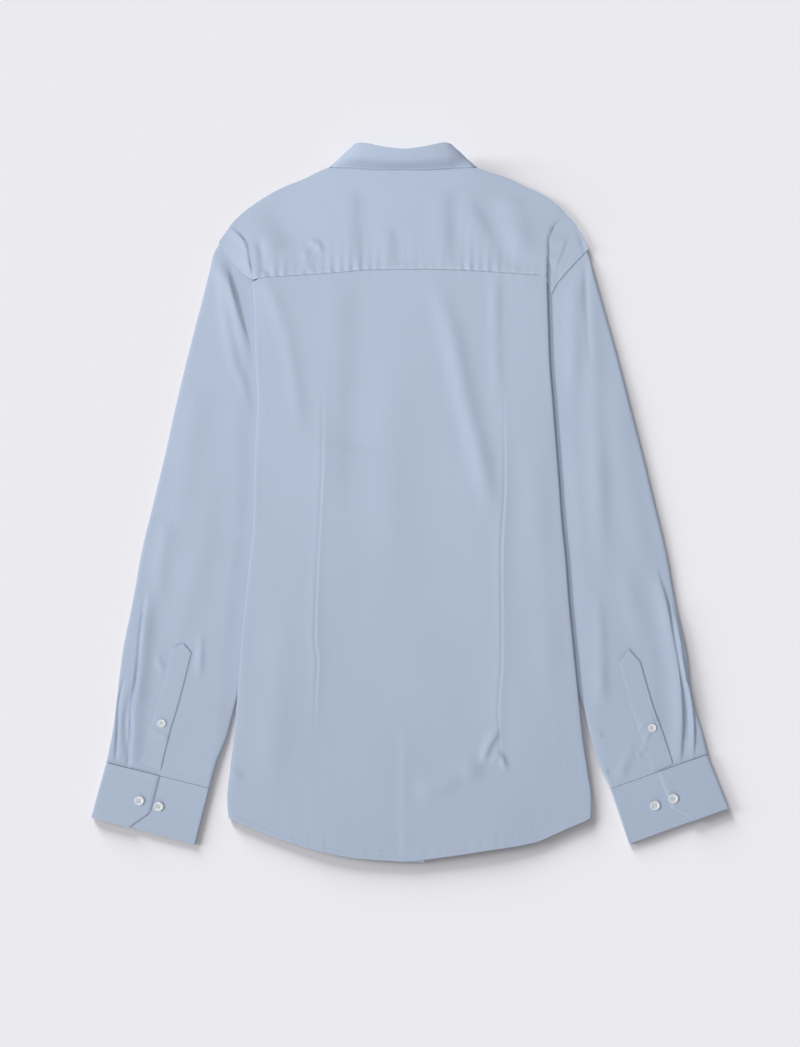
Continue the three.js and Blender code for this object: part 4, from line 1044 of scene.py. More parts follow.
def yoke_tuck(last, first, shares):
    """The pressed tuck, between the column before it and the one beyond it. It opens out at the shoulder."""
    reach = np.clip(tuck_x(last[:, 1]) - last[:, 0], TUCK_LEAST, None)
    steps = np.linspace(0, 1, TUCK_COLUMNS + 2)[1:-1]
    columns = []
    for j, fold in enumerate(ease(*TUCK_OPENS, shares)):
        depth = TUCK_DEPTH * fold + TUCK_LEAST
        high, low = last[j, 2], first[j, 2]
        middle = mix(high, low, 0.55)
        edge, y = last[j, 0] + reach[j], mix(last[j, 1], first[j, 1], 0.4)
        straight = np.linspace(last[j], first[j], 9)
        folded = np.array([
            last[j], [edge - TUCK_ROUND, y, high - 0.1], [edge, y, mix(high, middle, 0.5)],
            [edge - TUCK_ROUND, y, middle], [edge - depth, y, middle],
            [edge - depth - TUCK_ROUND / 2, y, mix(middle, low, 0.5)], [edge - depth, y, low], [edge, y, low],
            first[j],
        ])
        columns.append(along(mix(straight, folded, fold), 8)(steps))
    return np.stack(columns, axis=1)


def yoke_turn(upper, low):
    """The part of the yoke that turns over the shoulders on to the fronts, at the heights in low."""
    begin, end = upper[:, 0], upper[:, -1]
    heading = begin[:, :2] - end[:, :2]
    heading = heading / np.linalg.norm(heading, axis=1)[:, None]
    radius = (end[:, 2] - low) / 2
    centre = end[:, :2] + heading * (radius + SHOULDER_INSET)[:, None]
    edge = end[:, :2] + heading * YOKE_FRONT_TURN
    rows = []
    for step in range(1, SHOULDER_ARCS + 1):
        angle = math.pi / 2 - math.pi * step / SHOULDER_ARCS
        out = heading * (radius * math.cos(angle))[:, None]
        rows.append(np.column_stack([centre - out, low + radius + radius * math.sin(angle)]))
    for t in np.linspace(0, 1, TURN_ROWS + 1)[1:]:
        rows.append(np.column_stack([mix(centre, edge, t), low]))
    return np.stack(rows, axis=1)


def yoke_cloth():
    """The yoke over both shoulders, with the tuck near its right end and its turn on to the fronts."""
    low_neck, high_neck = NECK_LINES
    places, beyond = grid_places("yoke_columns"), grid_places("yoke_beyond_tuck")
    shares = grid_places("yoke_rows")
    x, y, top, start = yoke_plan(places, shares)
    seam = back_height(start, yoke_seam_y(start))
    armhole = (1 - ease(*ARMHOLE_LEVEL_LINES, places)[:, None]) * ease(*ARMHOLE_LEVEL_SHARES, shares)
    z = mix(mix(seam, top, ease(0, 1, shares)), ARMHOLE_HEIGHT, armhole)
    main = np.stack([x, y, yoke_pressed(x, y, z)], axis=-1)
    x, y, top, start = yoke_plan(beyond, shares)
    y = y + (through(BEYOND_TUCK)(start) - y[:, :1]) * ease(BEYOND_TUCK_SHARE, 0, shares)
    z = mix(ARMHOLE_HEIGHT - BEYOND_TUCK_LOWER, top, ease(0, 1, shares)) + 0 * x
    end = np.stack([x, y, yoke_pressed(x, y, z)], axis=-1)
    tuck = yoke_tuck(main[-1], end[0], shares)
    upper = np.concatenate([main, tuck, end])
    c = np.concatenate([places, np.full(len(tuck), YOKE_TUCK_AFTER + 0.5), beyond])
    turn = yoke_turn(upper, yoke_columns[4](c))
    # Behind the neck the yoke ends at the neckline: its turn is left out there.
    neck = (c > low_neck - 1) & (c < high_neck + 1)
    turn[neck, :, 2] = upper[neck, -1:, 2]
    grid = np.concatenate([upper, turn], axis=1)
    leave_out = np.zeros((grid.shape[0] - 1, grid.shape[1] - 1), bool)
    leave_out[(c[:-1] > low_neck - 1.01) & (c[1:] < high_neck + 1.01), len(shares) - 1:] = True
    cut = grid_cut(run_along(grid[:, CUT_ROWS["yoke"]]), run_along(grid[YOKE_CUT_COLUMN]))
    return Cloth(grid, cut, leave_out=leave_out)


def front_top(side):
    """The upper edge of a front: the neckline, then the yoke's front seam."""
    points = [(FRONT_TOP[0] + side * out, y) for out, y in FRONT_NECKLINE]
    ends = (YOKE_LINES[0][0], YOKE_LINES[-1][0])
    for start, end, _, _, _ in YOKE_LINES:
        if start * side < FRONT_SEAM_FROM_X:
            continue
        foot = np.array([start, float(yoke_seam_y(start))])
        head = np.array([end, float(shoulder_y(end))])
        heading = (foot - head) / np.linalg.norm(foot - head)
        inward = -FRONT_SEAM_INSET * side if start in ends else 0
        x, y = head + heading * YOKE_FRONT_TURN
        points.append((x + inward, y))
    table = np.array(sorted(points))
    return lambda x: np.interp(x, table[:, 0], table[:, 1]) - 2 * SEAM_GAP


def front_height(side, centre_height, x, y):
    """The height of a front: on the surface, and up over the strip, the turned-in side and the collar."""
    out = side * (x - middle_x(y))
    measures = {
        "strip_out": out, "side_in": past_seam(x, y), "side_y": y, "collar_y": y, "collar_out": out,
        "crease_out": out, "crease_from_neck": np.abs(y - FRONT_TOP[1]),
    }
    rise = {key: ease(*FRONT_RISES[key], at) for key, at in measures.items()}
    placket = mix(ON_FLOOR, centre_height, rise["strip_out"])
    over = pile_height(y) + ON_FLOOR + 2 * PITCH
    sides = mix(ON_FLOOR, over, rise["side_in"] * rise["side_y"])
    collar = mix(ON_FLOOR, ON_FLOOR + PITCH, rise["collar_y"] * rise["collar_out"])
    folds = creased(x, y, FRONT_CREASES[side]) * rise["crease_out"] * rise["crease_from_neck"]
    return np.maximum(np.maximum(placket, sides), collar) + np.abs(folds) * FRONT_CREASE_DEPTH


def front_cloth(side, edge_out, centre_height):
    """One front: flat on the surface, up over the turned-in side and down again under it."""
    upper = front_top(side)
    across_shares, row_shares = grid_places("front_columns"), grid_places("front_rows")

    def side_edge(y):
        folded = fold_x(side, y) - side * FOLD_REACH
        return mix(folded - side * FRONT_SIDE_INSET, FRONT_SHOULDER_X[side], ease(*FRONT_SHOULDER_YS, y))

    start_x = FRONT_TOP[0] + side * edge_out
    top_x = mix(start_x, side_edge(FRONT_TOP[1]), across_shares)
    columns = []
    for share, x_top in zip(across_shares, top_x):
        low = mix(float(hem_y(side * 20)), HEM_SIDE_Y, share ** 2) + FRONT_HEM_INSET
        y = mix(low, float(upper(x_top)), row_shares)
        inner = mix(middle_x(y) + side * edge_out, start_x, ease(*FRONT_NECK_YS, y))
        x = mix(inner, side_edge(y), share)
        columns.append(np.stack([x, y, front_height(side, centre_height, x, y)], axis=-1))
    y = mix(HEM_SIDE_Y + FRONT_HEM_INSET, float(upper(side_edge(FRONT_TOP[1]) + side * 2.4)), row_shares)
    folded = side_fold(side, y, FRONT_FOLD_ARCS, FRONT_FOLD_RETURNS, FRONT_FOLD_RADIUS, FRONT_INSET)
    amount = ease(*FRONT_TURNED_YS, y)[:, None]
    edge = side_edge(y)
    edge_height = front_height(side, centre_height, edge, y)
    for k, turned in enumerate(folded):
        flat = np.stack([edge + side * k * 0.15, y, edge_height], axis=-1)
        columns.append(mix(flat, turned, amount))
    grid = np.stack(columns)
    return Cloth(grid, grid_cut(run_along(grid[:, CUT_ROWS["front"]]), row_shares * FRONT_LENGTH))


def front_placket_cloth():
    """The strip down the front edge, with a slight wave and two lines of sewing."""
    ys = spaced(FRONT_STRIP_TOP_Y, FRONT_HEM_Y, FRONT_STRIP_MESH)
    out, y = np.meshgrid(grid_places("front_strip_columns"), ys, indexing="ij")
    x = middle_x(y) + out * PLACKET_WIDTH
    z = PLACKET_HEIGHT + uneven(x, y, **WAVES["front_strip"]) - groove(np.abs(out), **FRONT_STRIP_STITCH)
    return Cloth(np.stack([x, y, z], axis=-1), np.stack([out * PLACKET_WIDTH, y], axis=-1), wall=DOUBLED)


def collar_rows(places, stand_only=False):
    """The collar's stations at places from one front end to the other, smoothly between the table's rows. The
    stand alone has its lap at the front as well."""
    rows = [row[:2] for row in COLLAR] + [STAND_LAP] if stand_only else COLLAR
    sides = []
    for side in (-1, 1):
        placed = []
        for i, row in enumerate(rows):
            lift = PITCH * float(ease(8, 12, i)) if stand_only and side > 0 else 0
            placed.append([
                (COLLAR_MIDDLE_X + side * out, y - COLLAR_LEAN * max(0, z - LEANS_ABOVE), z + lift)
                for out, y, z in row
            ])
        sides.append(placed)
    table = np.array(sides[0][:0:-1] + sides[1])
    shares = np.arange(len(table)) / (len(table) - 1)
    columns = []
    for k in range(table.shape[1]):
        parts = [through(list(zip(shares, table[:, k, axis])))(places) for axis in range(3)]
        columns.append(np.stack(parts, axis=-1))
    return np.stack(columns, axis=1)


def stand_cloth():
    """The collar stand, a band round the neck that laps at the front."""
    rows = collar_rows(grid_places("stand_columns"), True)
    shares = grid_places("stand_rows")
    grid = np.stack([mix(rows[:, 0], rows[:, 1], share) for share in shares], axis=1)
    return Cloth(grid, grid_cut(run_along(grid[:, CUT_ROWS["stand"]]), shares * STAND_WIDTH), wall=DOUBLED)


def leaf_cloth():
    """The collar leaf, from its roll on the stand down to its free edge and points."""
    rows = collar_rows(grid_places("leaf_columns"))
    neck, fold, roll, fall, edge = [rows[:, k] for k in range(5)]
    heading = np.gradient(fold, axis=0)
    heading /= np.linalg.norm(heading, axis=1)[:, None]
    up = fold - neck
    up /= np.linalg.norm(up, axis=1)[:, None]
    clear = up - (up * heading).sum(axis=1)[:, None] * heading
    clear /= np.linalg.norm(clear, axis=1)[:, None]
    start = fold + clear * LEAF_CLEARS_STAND
    shares = grid_places("leaf_rows")
    grid = np.stack([along(list(points))(shares) for points in zip(start, roll, fall, edge)])
    grid[..., 2] = np.maximum(grid[..., 2], LEAF_ON_FLOOR)
    return Cloth(grid, grid_cut(run_along(grid[:, -1]), shares * LEAF_WIDTH), wall=LEAF_WALL)


def sleeve_plan(name):
    """Gives the place in plan at u from the underarm side to the outer side and v from armhole to cuff."""
    row = SLEEVES[name]
    side = row["side"]
    underarm = (float(seam_x(side, UNDERARM_Y)) + side * 4, UNDERARM_Y)
    armhole = [(float(seam_x(side, y)), y) for y in ARMHOLE_YS]
    cuff_outer, cuff_inner = row["cuff"]
    top = along([underarm] + armhole + row["tip"])
    outer = along([row["tip"][-1]] + row["outer"] + [cuff_outer])
    inner = along([underarm] + row["inner"] + [cuff_inner])
    cuff = along([cuff_inner, cuff_outer])

    def at(u, v):
        s, t = u[..., None], v[..., None]
        place = top(u) * (1 - t) + cuff(u) * t + inner(v) * (1 - s) + outer(v) * s
        return place - mix(mix(top(0), top(1), s), mix(cuff(0), cuff(1), s), t)

    return at


def sleeve_creased(name, x, y):
    """The creases and long waves of a sleeve's upper cloth."""
    depth = CREASE_DEPTHS["sleeve"]
    return creased(x, y, SLEEVE_CREASES[name], depth) + uneven(x, y, **WAVES[f"sleeve_{name}"])


def sleeve_height(name, x, y, v):
    """The height of a sleeve's upper cloth: flat under the body, fuller and creased where it lies clear."""
    side = SLEEVES[name]["side"]
    clear = ease(*SLEEVE_CLEARS, side * (x - fold_x(side, y))) * ease(0, SLEEVE_FULL_FROM, v)
    rise = clear * sleeve_creased(name, x, y) * ease(*SLEEVE_LEVEL_AT_CUFF, v)
    return np.maximum(SLEEVE_TOP + SLEEVE_LOFT * clear + rise, SLEEVE_LEAST)


def sleeve_cloth(name):
    """A sleeve: one flattened tube between its armhole and the cuff seam."""
    plan = sleeve_plan(name)
    edge = np.array(SLEEVE_EDGE)
    upper = np.concatenate([edge, grid_places("sleeve_upper_columns"), 1 - edge[::-1]])
    lower = np.concatenate([1 - edge[1:], grid_places("sleeve_lower_columns"), edge[:0:-1]])
    rows = grid_places("sleeve_rows")
    u, v = np.meshgrid(np.concatenate([upper, lower]), rows, indexing="ij")
    is_top = np.arange(len(u))[:, None] < len(upper)
    place = plan(u, np.where(is_top, v, mix(UNDER_LAYER_LAG, 1, v)))
    x, y = place[..., 0], place[..., 1]
    top = sleeve_height(name, x, y, v)
    width = np.linalg.norm(plan(np.ones(len(rows)), rows) - plan(np.zeros(len(rows)), rows), axis=-1)
    from_edge = (np.minimum(u, 1 - u) - SLEEVE_EDGE[0]) * width[None, :]
    rounded = np.sqrt(np.clip(1 - (1 - np.clip(from_edge / SLEEVE_EDGE_ROUND, 0, 1)) ** 2, 0, 1))
    level = mix(ON_FLOOR, top, SLEEVE_EDGE_LEVEL)
    z = mix(level, np.where(is_top, top, ON_FLOOR), rounded)
    across = np.where(is_top, u, 2 - u) * SLEEVE_HALF_WIDTH
    return Cloth(np.stack([x, y, z], axis=-1), np.stack([across, -v * SLEEVE_LENGTH], axis=-1), wraps=True)


def sleeve_placket_cloth(name):
    """The pointed strip over the sleeve slit, on the sleeve's upper cloth."""
    row = SLEEVE_PLACKETS[name]
    outer, inner = along(row["outer"]), along(row["inner"])
    out, share = np.meshgrid(grid_places("placket_columns"), grid_places("placket_rows"), indexing="ij")
    below = np.clip((share - POINT_SHARE) / (1 - POINT_SHARE), 0, 1)
    peak = np.where(out < 0.5, out, 1 - out) * 2 * np.clip(1 - share / POINT_SHARE, 0, 1)
    lead = mix(outer(0), inner(0), 0.5)
    place = mix(outer(below), inner(below), out[..., None])
    place = place + (np.array(row["point"]) - lead) * peak[..., None]
    x, y = place[..., 0], place[..., 1]
    from_edge = np.minimum(out, 1 - out) * SLEEVE_PLACKET_WIDTH
    z = SLEEVE_TOP + SLEEVE_LOFT + sleeve_creased(name, x, y) + SLEEVE_PLACKET_RISE
    z = z - groove(from_edge, **SLEEVE_PLACKET_STITCH)
    z = z - SLEEVE_PLACKET_EDGE_DROP * ease(SLEEVE_PLACKET_ROUND, 0, from_edge)
    z = z - SLEEVE_PLACKET_FOOT_DROP * ease(SLEEVE_PLACKET_FOOT_SHARE, 1, share)
    cut = np.stack([out * SLEEVE_PLACKET_WIDTH, -share * SLEEVE_PLACKET_LENGTH], axis=-1)
    return Cloth(np.stack([x, y, z], axis=-1), cut, wall=SLEEVE_PLACKET_WALL)


def cuff_strip(width):
    """The section of a cuff, as distance from its outer side and height, from the flap's end round to the end
    of the underlap."""
    outer_radius = (CUFF_FLAP - CUFF_BASE) / 2
    inner_radius = (CUFF_UNDERLAP - CUFF_BASE) / 2
    left = outer_radius + CUFF_EDGE_GAP
    right = width - inner_radius - CUFF_EDGE_GAP
    flap_end = FLAP_REACH * width
    arc = np.linspace(0, math.pi, CUFF_ARCS + 1)[1:-1]
    strip = [(out, CUFF_FLAP) for out in (flap_end, flap_end - CUFF_MESH / 3)]
    strip += [(out, CUFF_FLAP) for out in spaced(flap_end - CUFF_MESH, left, CUFF_MESH)]
    strip += [(left - outer_radius * math.sin(a), CUFF_BASE + outer_radius * (1 + math.cos(a))) for a in arc]
    strip += [(out, CUFF_BASE) for out in spaced(left, right, CUFF_UNDER_MESH)]
    strip += [(right + inner_radius * math.sin(a), CUFF_BASE + inner_radius * (1 - math.cos(a))) for a in arc]
    lap_end = width * (1 - UNDERLAP_REACH)
    strip += [(out, CUFF_UNDERLAP) for out in spaced(right, lap_end, CUFF_MESH)]
    return np.array(strip)


def cuff_cloth(name):
    """A cuff is one interlined strip wound round: flap on top, round the outer edge, under, and back. The
    heights of its columns come with it."""
    seam_outer, seam_inner, edge_outer, edge_inner = [np.array(corner) for corner in CUFFS[name]]
    width = np.linalg.norm(seam_inner - seam_outer)
    strip = cuff_strip(width)
    out, height = strip.T
    rows = grid_places("cuff_rows")
    on_flap = np.isclose(height, CUFF_FLAP)
    visible = on_flap | np.isclose(height, CUFF_UNDERLAP)
    from_end = FLAP_REACH * width - out
    cut_width, cut_depth = CORNER_CUT
    cut = np.where(height > CUFF_UNDERLAP + 1, cut_depth * np.clip(1 - from_end / cut_width, 0, 1), 0)
    down = rows[None, :] * (1 - cut[:, None])
    share, t = (out / width)[:, None, None], down[..., None]
    place = mix(mix(seam_outer, seam_inner, share), mix(edge_outer, edge_inner, share), t)
    x, y = place[..., 0], place[..., 1]
    pressed = uneven(x, y, **WAVES[f"cuff_{name}"])
    for middle in CUFF_STITCHES:
        pressed = pressed - groove(down * CUFF_DEPTH, middle, CUFF_STITCH_DIP)
    dropped = FLAP_EDGE_DROP * ease(FLAP_EDGE_ROUND, 0, from_end)[:, None]
    dropped = dropped + FLAP_FOOT_DROP * ease(FLAP_FOOT_SHARE, 1, rows)[None, :]
    z = height[:, None] + np.where(visible[:, None], pressed, 0) - dropped * on_flap[:, None]
    grid = np.stack([x, y, z], axis=-1)
    return Cloth(grid, grid_cut(run_along(strip), rows * CUFF_DEPTH), wall=INTERLINED), height


def button_mesh(radius, thick, hole_spread):
    """A turned four-hole button: a raised rim, a dished middle and four holes."""
    fine = along(BUTTON_PROFILE, 6)(np.linspace(0, 1, BUTTON_RINGS))
    angle = np.arange(BUTTON_TURNS) * 2 * math.pi / BUTTON_TURNS
    r = np.clip(fine[:, 0], 0.004, 1) * radius
    z = np.clip(fine[:, 1], 0, 1) * thick
    x, y = r[:, None] * np.cos(angle), r[:, None] * np.sin(angle)
    high = np.repeat(z[:, None], BUTTON_TURNS, 1)
    upper = (np.arange(len(r)) < BUTTON_RINGS // 2)[:, None]
    spread = radius * hole_spread
    for k in range(4):
        hole = math.pi / 4 + k * math.pi / 2
        gap = np.hypot(x - spread * math.cos(hole), y - spread * math.sin(hole))
        pit = ease(radius * HOLE_WALL[0], radius * HOLE_WALL[1], gap)
        high = np.where(upper, mix(high, thick * HOLE_FLOOR, pit), high)
    points = np.stack([x, y, high], axis=-1).reshape(-1, 3)
    i, j = np.meshgrid(np.arange(len(r) - 1), np.arange(BUTTON_TURNS), indexing="ij")
    low, after = i * BUTTON_TURNS, (j + 1) % BUTTON_TURNS
    faces = np.stack([low + j, low + BUTTON_TURNS + j, low + BUTTON_TURNS + after, low + after], axis=-1)
    return points, faces.reshape(-1, 4)


def sewn_thread(radius, thick, hole_spread):
    """Two bars of thread through the four holes."""
    points, faces = [], []
    spread = radius * hole_spread * math.cos(math.pi / 4)
    angles = np.arange(THREAD_SIDES) * 2 * math.pi / THREAD_SIDES
    run = np.linspace(-1, 1, THREAD_RINGS)
    for offset in (-spread, spread):
        faces += tube_faces(len(run), THREAD_SIDES, len(points) * THREAD_SIDES)
        for t in run:
            at_end = abs(t) == 1
            height = thick * (THREAD_HEIGHT + THREAD_ARCH * math.cos(t * math.pi / 2))
            height = height - (thick * THREAD_SINKS if at_end else 0)
            thread = THREAD_END_RADIUS if at_end else THREAD_RADIUS
            spokes = np.column_stack([np.cos(angles), 0 * angles, np.sin(angles) * THREAD_FLAT]) * thread
            points.append(np.array([offset, t * spread, height]) + spokes)
    return np.vstack(points), np.vstack(faces)


class ShirtCloth(bpy.types.PropertyGroup):
    poplin_colour: bpy.props.FloatVectorProperty(
        name="Poplin colour", description="Colour of the cloth", subtype="COLOR", size=3, min=0, max=1,
        default=linear("b2bfd4"))
    thread_colour: bpy.props.FloatVectorProperty(
        name="Thread colour", description="Colour of the sewing thread", subtype="COLOR", size=3, min=0,
        max=1, default=linear("d6dfec"))
    stitch_length: bpy.props.FloatProperty(
        name="Stitch length", description="Length of one stitch with its gap", unit="LENGTH", default=0.0028,
        min=0.001)
    thread_width: bpy.props.FloatProperty(
        name="Thread width", description="Width of the sewing thread", unit="LENGTH", default=0.0006,
        min=0.0001)


class ShirtButtons(bpy.types.PropertyGroup):
    pearl_colour: bpy.props.FloatVectorProperty(
        name="Button colour", description="Colour of the pearl buttons", subtype="COLOR", size=3, min=0,
        max=1, default=linear("eef1f4"))
    cuff_radius: bpy.props.FloatProperty(
        name="Cuff button radius", description="Radius of the cuff buttons", unit="LENGTH", default=0.0054)
    sleeve_radius: bpy.props.FloatProperty(
        name="Sleeve button radius", description="Radius of the sleeve placket buttons", unit="LENGTH",
        default=0.0046)
    front_radius: bpy.props.FloatProperty(
        name="Front button radius", description="Radius of the front and collar buttons", unit="LENGTH",
        default=0.0052)
    hole_spread: bpy.props.FloatProperty(
        name="Hole spread", description="Distance of the holes from the middle, as a share of the radius",
        subtype="FACTOR", default=0.28, min=0.1, max=0.5)


class ShirtStudio(bpy.types.PropertyGroup):
    floor_colour: bpy.props.FloatVectorProperty(
        name="Floor colour", description="Colour of the paper under the shirt", subtype="COLOR", size=3,
        min=0, max=1, default=linear("e8e7eb"))
    key_strength: bpy.props.FloatProperty(
        name="Key strength", description="Light on the cloth from the left", default=0.265)
    side_strength: bpy.props.FloatProperty(
        name="Side strength", description="Light on the cloth from the lower left", default=0.12)
    paper_key_strength: bpy.props.FloatProperty(
        name="Paper key strength", description="Light on the paper from the left", default=0.265)
    paper_top_strength: bpy.props.FloatProperty(
        name="Paper top strength", description="Light on the paper from above", default=0.07)
    shadow_strength: bpy.props.FloatProperty(
        name="Shadow strength", description="Light on the paper from the upper left", default=0.4)
    overhead_power: bpy.props.FloatProperty(
        name="Overhead power", description="Power of the overhead lamp on the cloth", unit="POWER", default=6)
    fill_strength: bpy.props.FloatProperty(
        name="Fill strength", description="Strength of the even light from all round", default=0.295)


def settings():
    scene = bpy.context.scene
    return scene.shirt_cloth, scene.shirt_buttons, scene.shirt_studio


class SHIRT_OT_back(bpy.types.Operator):
    """Makes the back with its darts, hem and turned-in sides"""
    bl_idname = "shirt.back"
    bl_label = "Back"

    def execute(self, context):
        cloth, _, _ = settings()
        back = back_cloth()
        piece = place_piece("back", back.mesh("back"), cotton_poplin(cloth), ["back_panel"])
        columns, rows = back.grid.shape[:2]
        hem_row = rows - 1 - 5.2
        runs = [seam_run(back, upward(back), [(10.5, hem_row), (columns - 11.5, hem_row)])]
        stitches("hem_stitching", runs, cloth, spun_thread(cloth))
        return {"FINISHED"}


def upward(cloth):
    """Which face of the cloth looks up in the middle of the piece."""
    columns, rows = cloth.grid.shape[:2]
    return 1 if cloth.normals[columns // 2, rows // 2, 2] > 0 else -1


class SHIRT_OT_yoke(bpy.types.Operator):
    """Makes the yoke with its topstitched seam"""
    bl_idname = "shirt.yoke"
    bl_label = "Yoke"

    def execute(self, context):
        cloth, _, _ = settings()
        yoke = yoke_cloth()
        piece = place_piece("yoke", yoke.mesh("yoke"), cotton_poplin(cloth), ["back_yoke"])
        columns, rows = yoke.grid.shape[:2]
        up = upward(yoke)
        shoulder_row = rows - SHOULDER_ARCS - TURN_ROWS - 3
        runs = [
            seam_run(yoke, up, [(1, 3.2), (columns - 2, 3.2)]),
            seam_run(yoke, up, [(2.2, 3), (2.2, shoulder_row)]),
            seam_run(yoke, up, [(columns - 3.2, 3), (columns - 3.2, shoulder_row)]),
        ]
        stitches("yoke_stitching", runs, cloth, spun_thread(cloth))
        return {"FINISHED"}


class SHIRT_OT_fronts(bpy.types.Operator):
    """Makes both fronts and the strip down the front edge"""
    bl_idname = "shirt.fronts"
    bl_label = "Fronts"

    def execute(self, context):
        cloth, _, _ = settings()
        poplin = cotton_poplin(cloth)
        left = front_cloth(-1, PLACKET_WIDTH / 2 + SEAM_GAP, PLACKET_HEIGHT)
        right = front_cloth(1, -PLACKET_WIDTH / 2, PLACKET_HEIGHT + PITCH)
        strip = front_placket_cloth()
        for node, front in (("front_left", left), ("front_right", right)):
            title = f"{node}_piece"
            piece = place_piece(title, front.mesh(title), poplin, [node])
        piece = place_piece("front_strip", strip.mesh("front_strip"), poplin, ["front_placket"])
        down = -upward(strip)
        columns, rows = strip.grid.shape[:2]
        runs = [seam_run(strip, down, [(c, 0.5), (c, rows - 1.5)]) for c in (3.2, columns - 4.2)]
        stitches("front_strip_stitching", runs, cloth, spun_thread(cloth))
        return {"FINISHED"}


class SHIRT_OT_collar(bpy.types.Operator):
    """Makes the collar stand and leaf"""
    bl_idname = "shirt.collar"
    bl_label = "Collar"

    def execute(self, context):
        cloth, _, _ = settings()
        poplin = cotton_poplin(cloth)
        stand = stand_cloth()
        leaf = leaf_cloth()
        piece = place_piece("collar_band", stand.mesh("collar_band"), poplin, ["collar_stand"])
        piece = place_piece("collar_fall", leaf.mesh("collar_fall"), poplin, ["collar_leaf"])
        columns, rows = leaf.grid.shape[:2]
        middle = leaf.normals[columns // 2, rows - 3]
        outside = 1 if middle[1] * -1 + middle[2] > 0 else -1
        path = [(3, 14), (3, rows - 4.2), (columns - 4, rows - 4.2), (columns - 4, 14)]
        stitches("collar_stitching", [seam_run(leaf, outside, path)], cloth, spun_thread(cloth))
        return {"FINISHED"}


class SHIRT_OT_sleeves(bpy.types.Operator):
    """Makes both sleeves with their pleats and creases"""
    bl_idname = "shirt.sleeves"
    bl_label = "Sleeves"

    def execute(self, context):
        cloth, _, _ = settings()
        for name in SLEEVES:
            sleeve = sleeve_cloth(name)
            title = f"sleeve_{name}_piece"
            piece = place_piece(title, sleeve.mesh(title), cotton_poplin(cloth), [f"sleeve_{name}"])
        return {"FINISHED"}


class SHIRT_OT_sleeve_plackets(bpy.types.Operator):
    """Makes the pointed strips over the sleeve slits"""
    bl_idname = "shirt.sleeve_plackets"
    bl_label = "Sleeve plackets"

    def execute(self, context):
        cloth, _, _ = settings()
        for name in SLEEVE_PLACKETS:
            strip = sleeve_placket_cloth(name)
            title = f"placket_{name}_piece"
            node = f"sleeve_placket_{name}"
            piece = place_piece(title, strip.mesh(title), cotton_poplin(cloth), [node])
            columns, rows = strip.grid.shape[:2]
            up = upward(strip)
            near, far = 2.2, columns - 3.2
            middle = (columns - 1) / 2
            runs = [
                seam_run(strip, up, [(near, rows - 2), (near, 8), (middle, 1.2), (far, 8), (far, rows - 2)]),
                seam_run(strip, up, [(near, 24), (far, 24)]),
                seam_run(strip, up, [(near, 26), (far, 26)]),
            ]
            stitches(f"placket_{name}_stitching", runs, cloth, spun_thread(cloth))
        return {"FINISHED"}


class SHIRT_OT_cuffs(bpy.types.Operator):
    """Makes both cuffs, each with its flap over its underlap"""
    bl_idname = "shirt.cuffs"
    bl_label = "Cuffs"

    def execute(self, context):
        cloth, _, _ = settings()
        for name in CUFFS:
            cuff, heights = cuff_cloth(name)
            title = f"cuff_{name}_piece"
            piece = place_piece(title, cuff.mesh(title), cotton_poplin(cloth), [f"cuff_{name}"])
            columns, rows = cuff.grid.shape[:2]
            flap = np.count_nonzero(heights == CUFF_FLAP)
            lap = np.count_nonzero(heights == CUFF_UNDERLAP)
            outward = 1 if cuff.normals[3, rows // 2, 2] > 0 else -1
            inward = 1 if cuff.normals[columns - 4, rows // 2, 2] > 0 else -1
            runs = [
                seam_run(cuff, outward, [(flap - 1, 4), (3.6, 4), (3.6, rows - 5), (flap - 1, rows - 5)]),
                seam_run(cuff, inward, [(columns - lap, 4), (columns - 3, 4)]),
                seam_run(cuff, inward, [(columns - lap, rows - 5), (columns - 3, rows - 5)]),
            ]
            stitches(f"cuff_{name}_stitching", runs, cloth, spun_thread(cloth))
        return {"FINISHED"}


class SHIRT_OT_buttons(bpy.types.Operator):
    """Makes every button and the thread that holds it"""
    bl_idname = "shirt.buttons"
    bl_label = "Buttons"

    def execute(self, context):
        cloth, buttons, _ = settings()
        pearl = pearl_polyester(buttons)
        places = []
        for name, x, y, on in CUFF_BUTTONS:
            places.append((name, x, y, on + SEAM_GAP, buttons.cuff_radius * METRE, CUFF_BUTTON_THICK))
        for name, side, x, y in PLACKET_BUTTONS:
            crease = creased(np.array([x]), np.array([y]), SLEEVE_CREASES[side], CREASE_DEPTHS["sleeve"])[0]
            on = SLEEVE_TOP + SLEEVE_LOFT + float(crease) + PITCH + SLEEVE_BUTTON_LIFT
            places.append((name, x, y, on, buttons.sleeve_radius * METRE, SLEEVE_BUTTON_THICK))
        for i, y in enumerate(FRONT_BUTTON_YS):
            x, radius = float(middle_x(y)), buttons.front_radius * METRE
            places.append((f"button_front_{i + 1}", x, y, FRONT_BUTTON_BASE, radius, FRONT_BUTTON_THICK))
        sewn = []
        for name, x, y, base, radius, thick in places:
            faces_down = name.startswith("button_front")
            points, faces = button_mesh(radius, thick, buttons.hole_spread)
            thread, thread_faces = sewn_thread(radius, thick, buttons.hole_spread)
            for cloud in (points, thread):
                if faces_down:
                    cloud[:, 2] = thick - cloud[:, 2]
                    cloud[:, 0] *= -1
                cloud += np.array([x, y, base])
            place_piece(f"{name}_piece", mesh_of(name, points, faces), pearl, [name])
            sewn.append((thread, thread_faces))
        count = 0
        all_faces = []
        for thread, thread_faces in sewn:
            all_faces.append(thread_faces + count)
            count += len(thread)
        mesh = mesh_of("button_thread", np.vstack([thread for thread, _ in sewn]), np.vstack(all_faces))
        place_piece("button_thread", mesh, spun_thread(cloth))
        return {"FINISHED"}


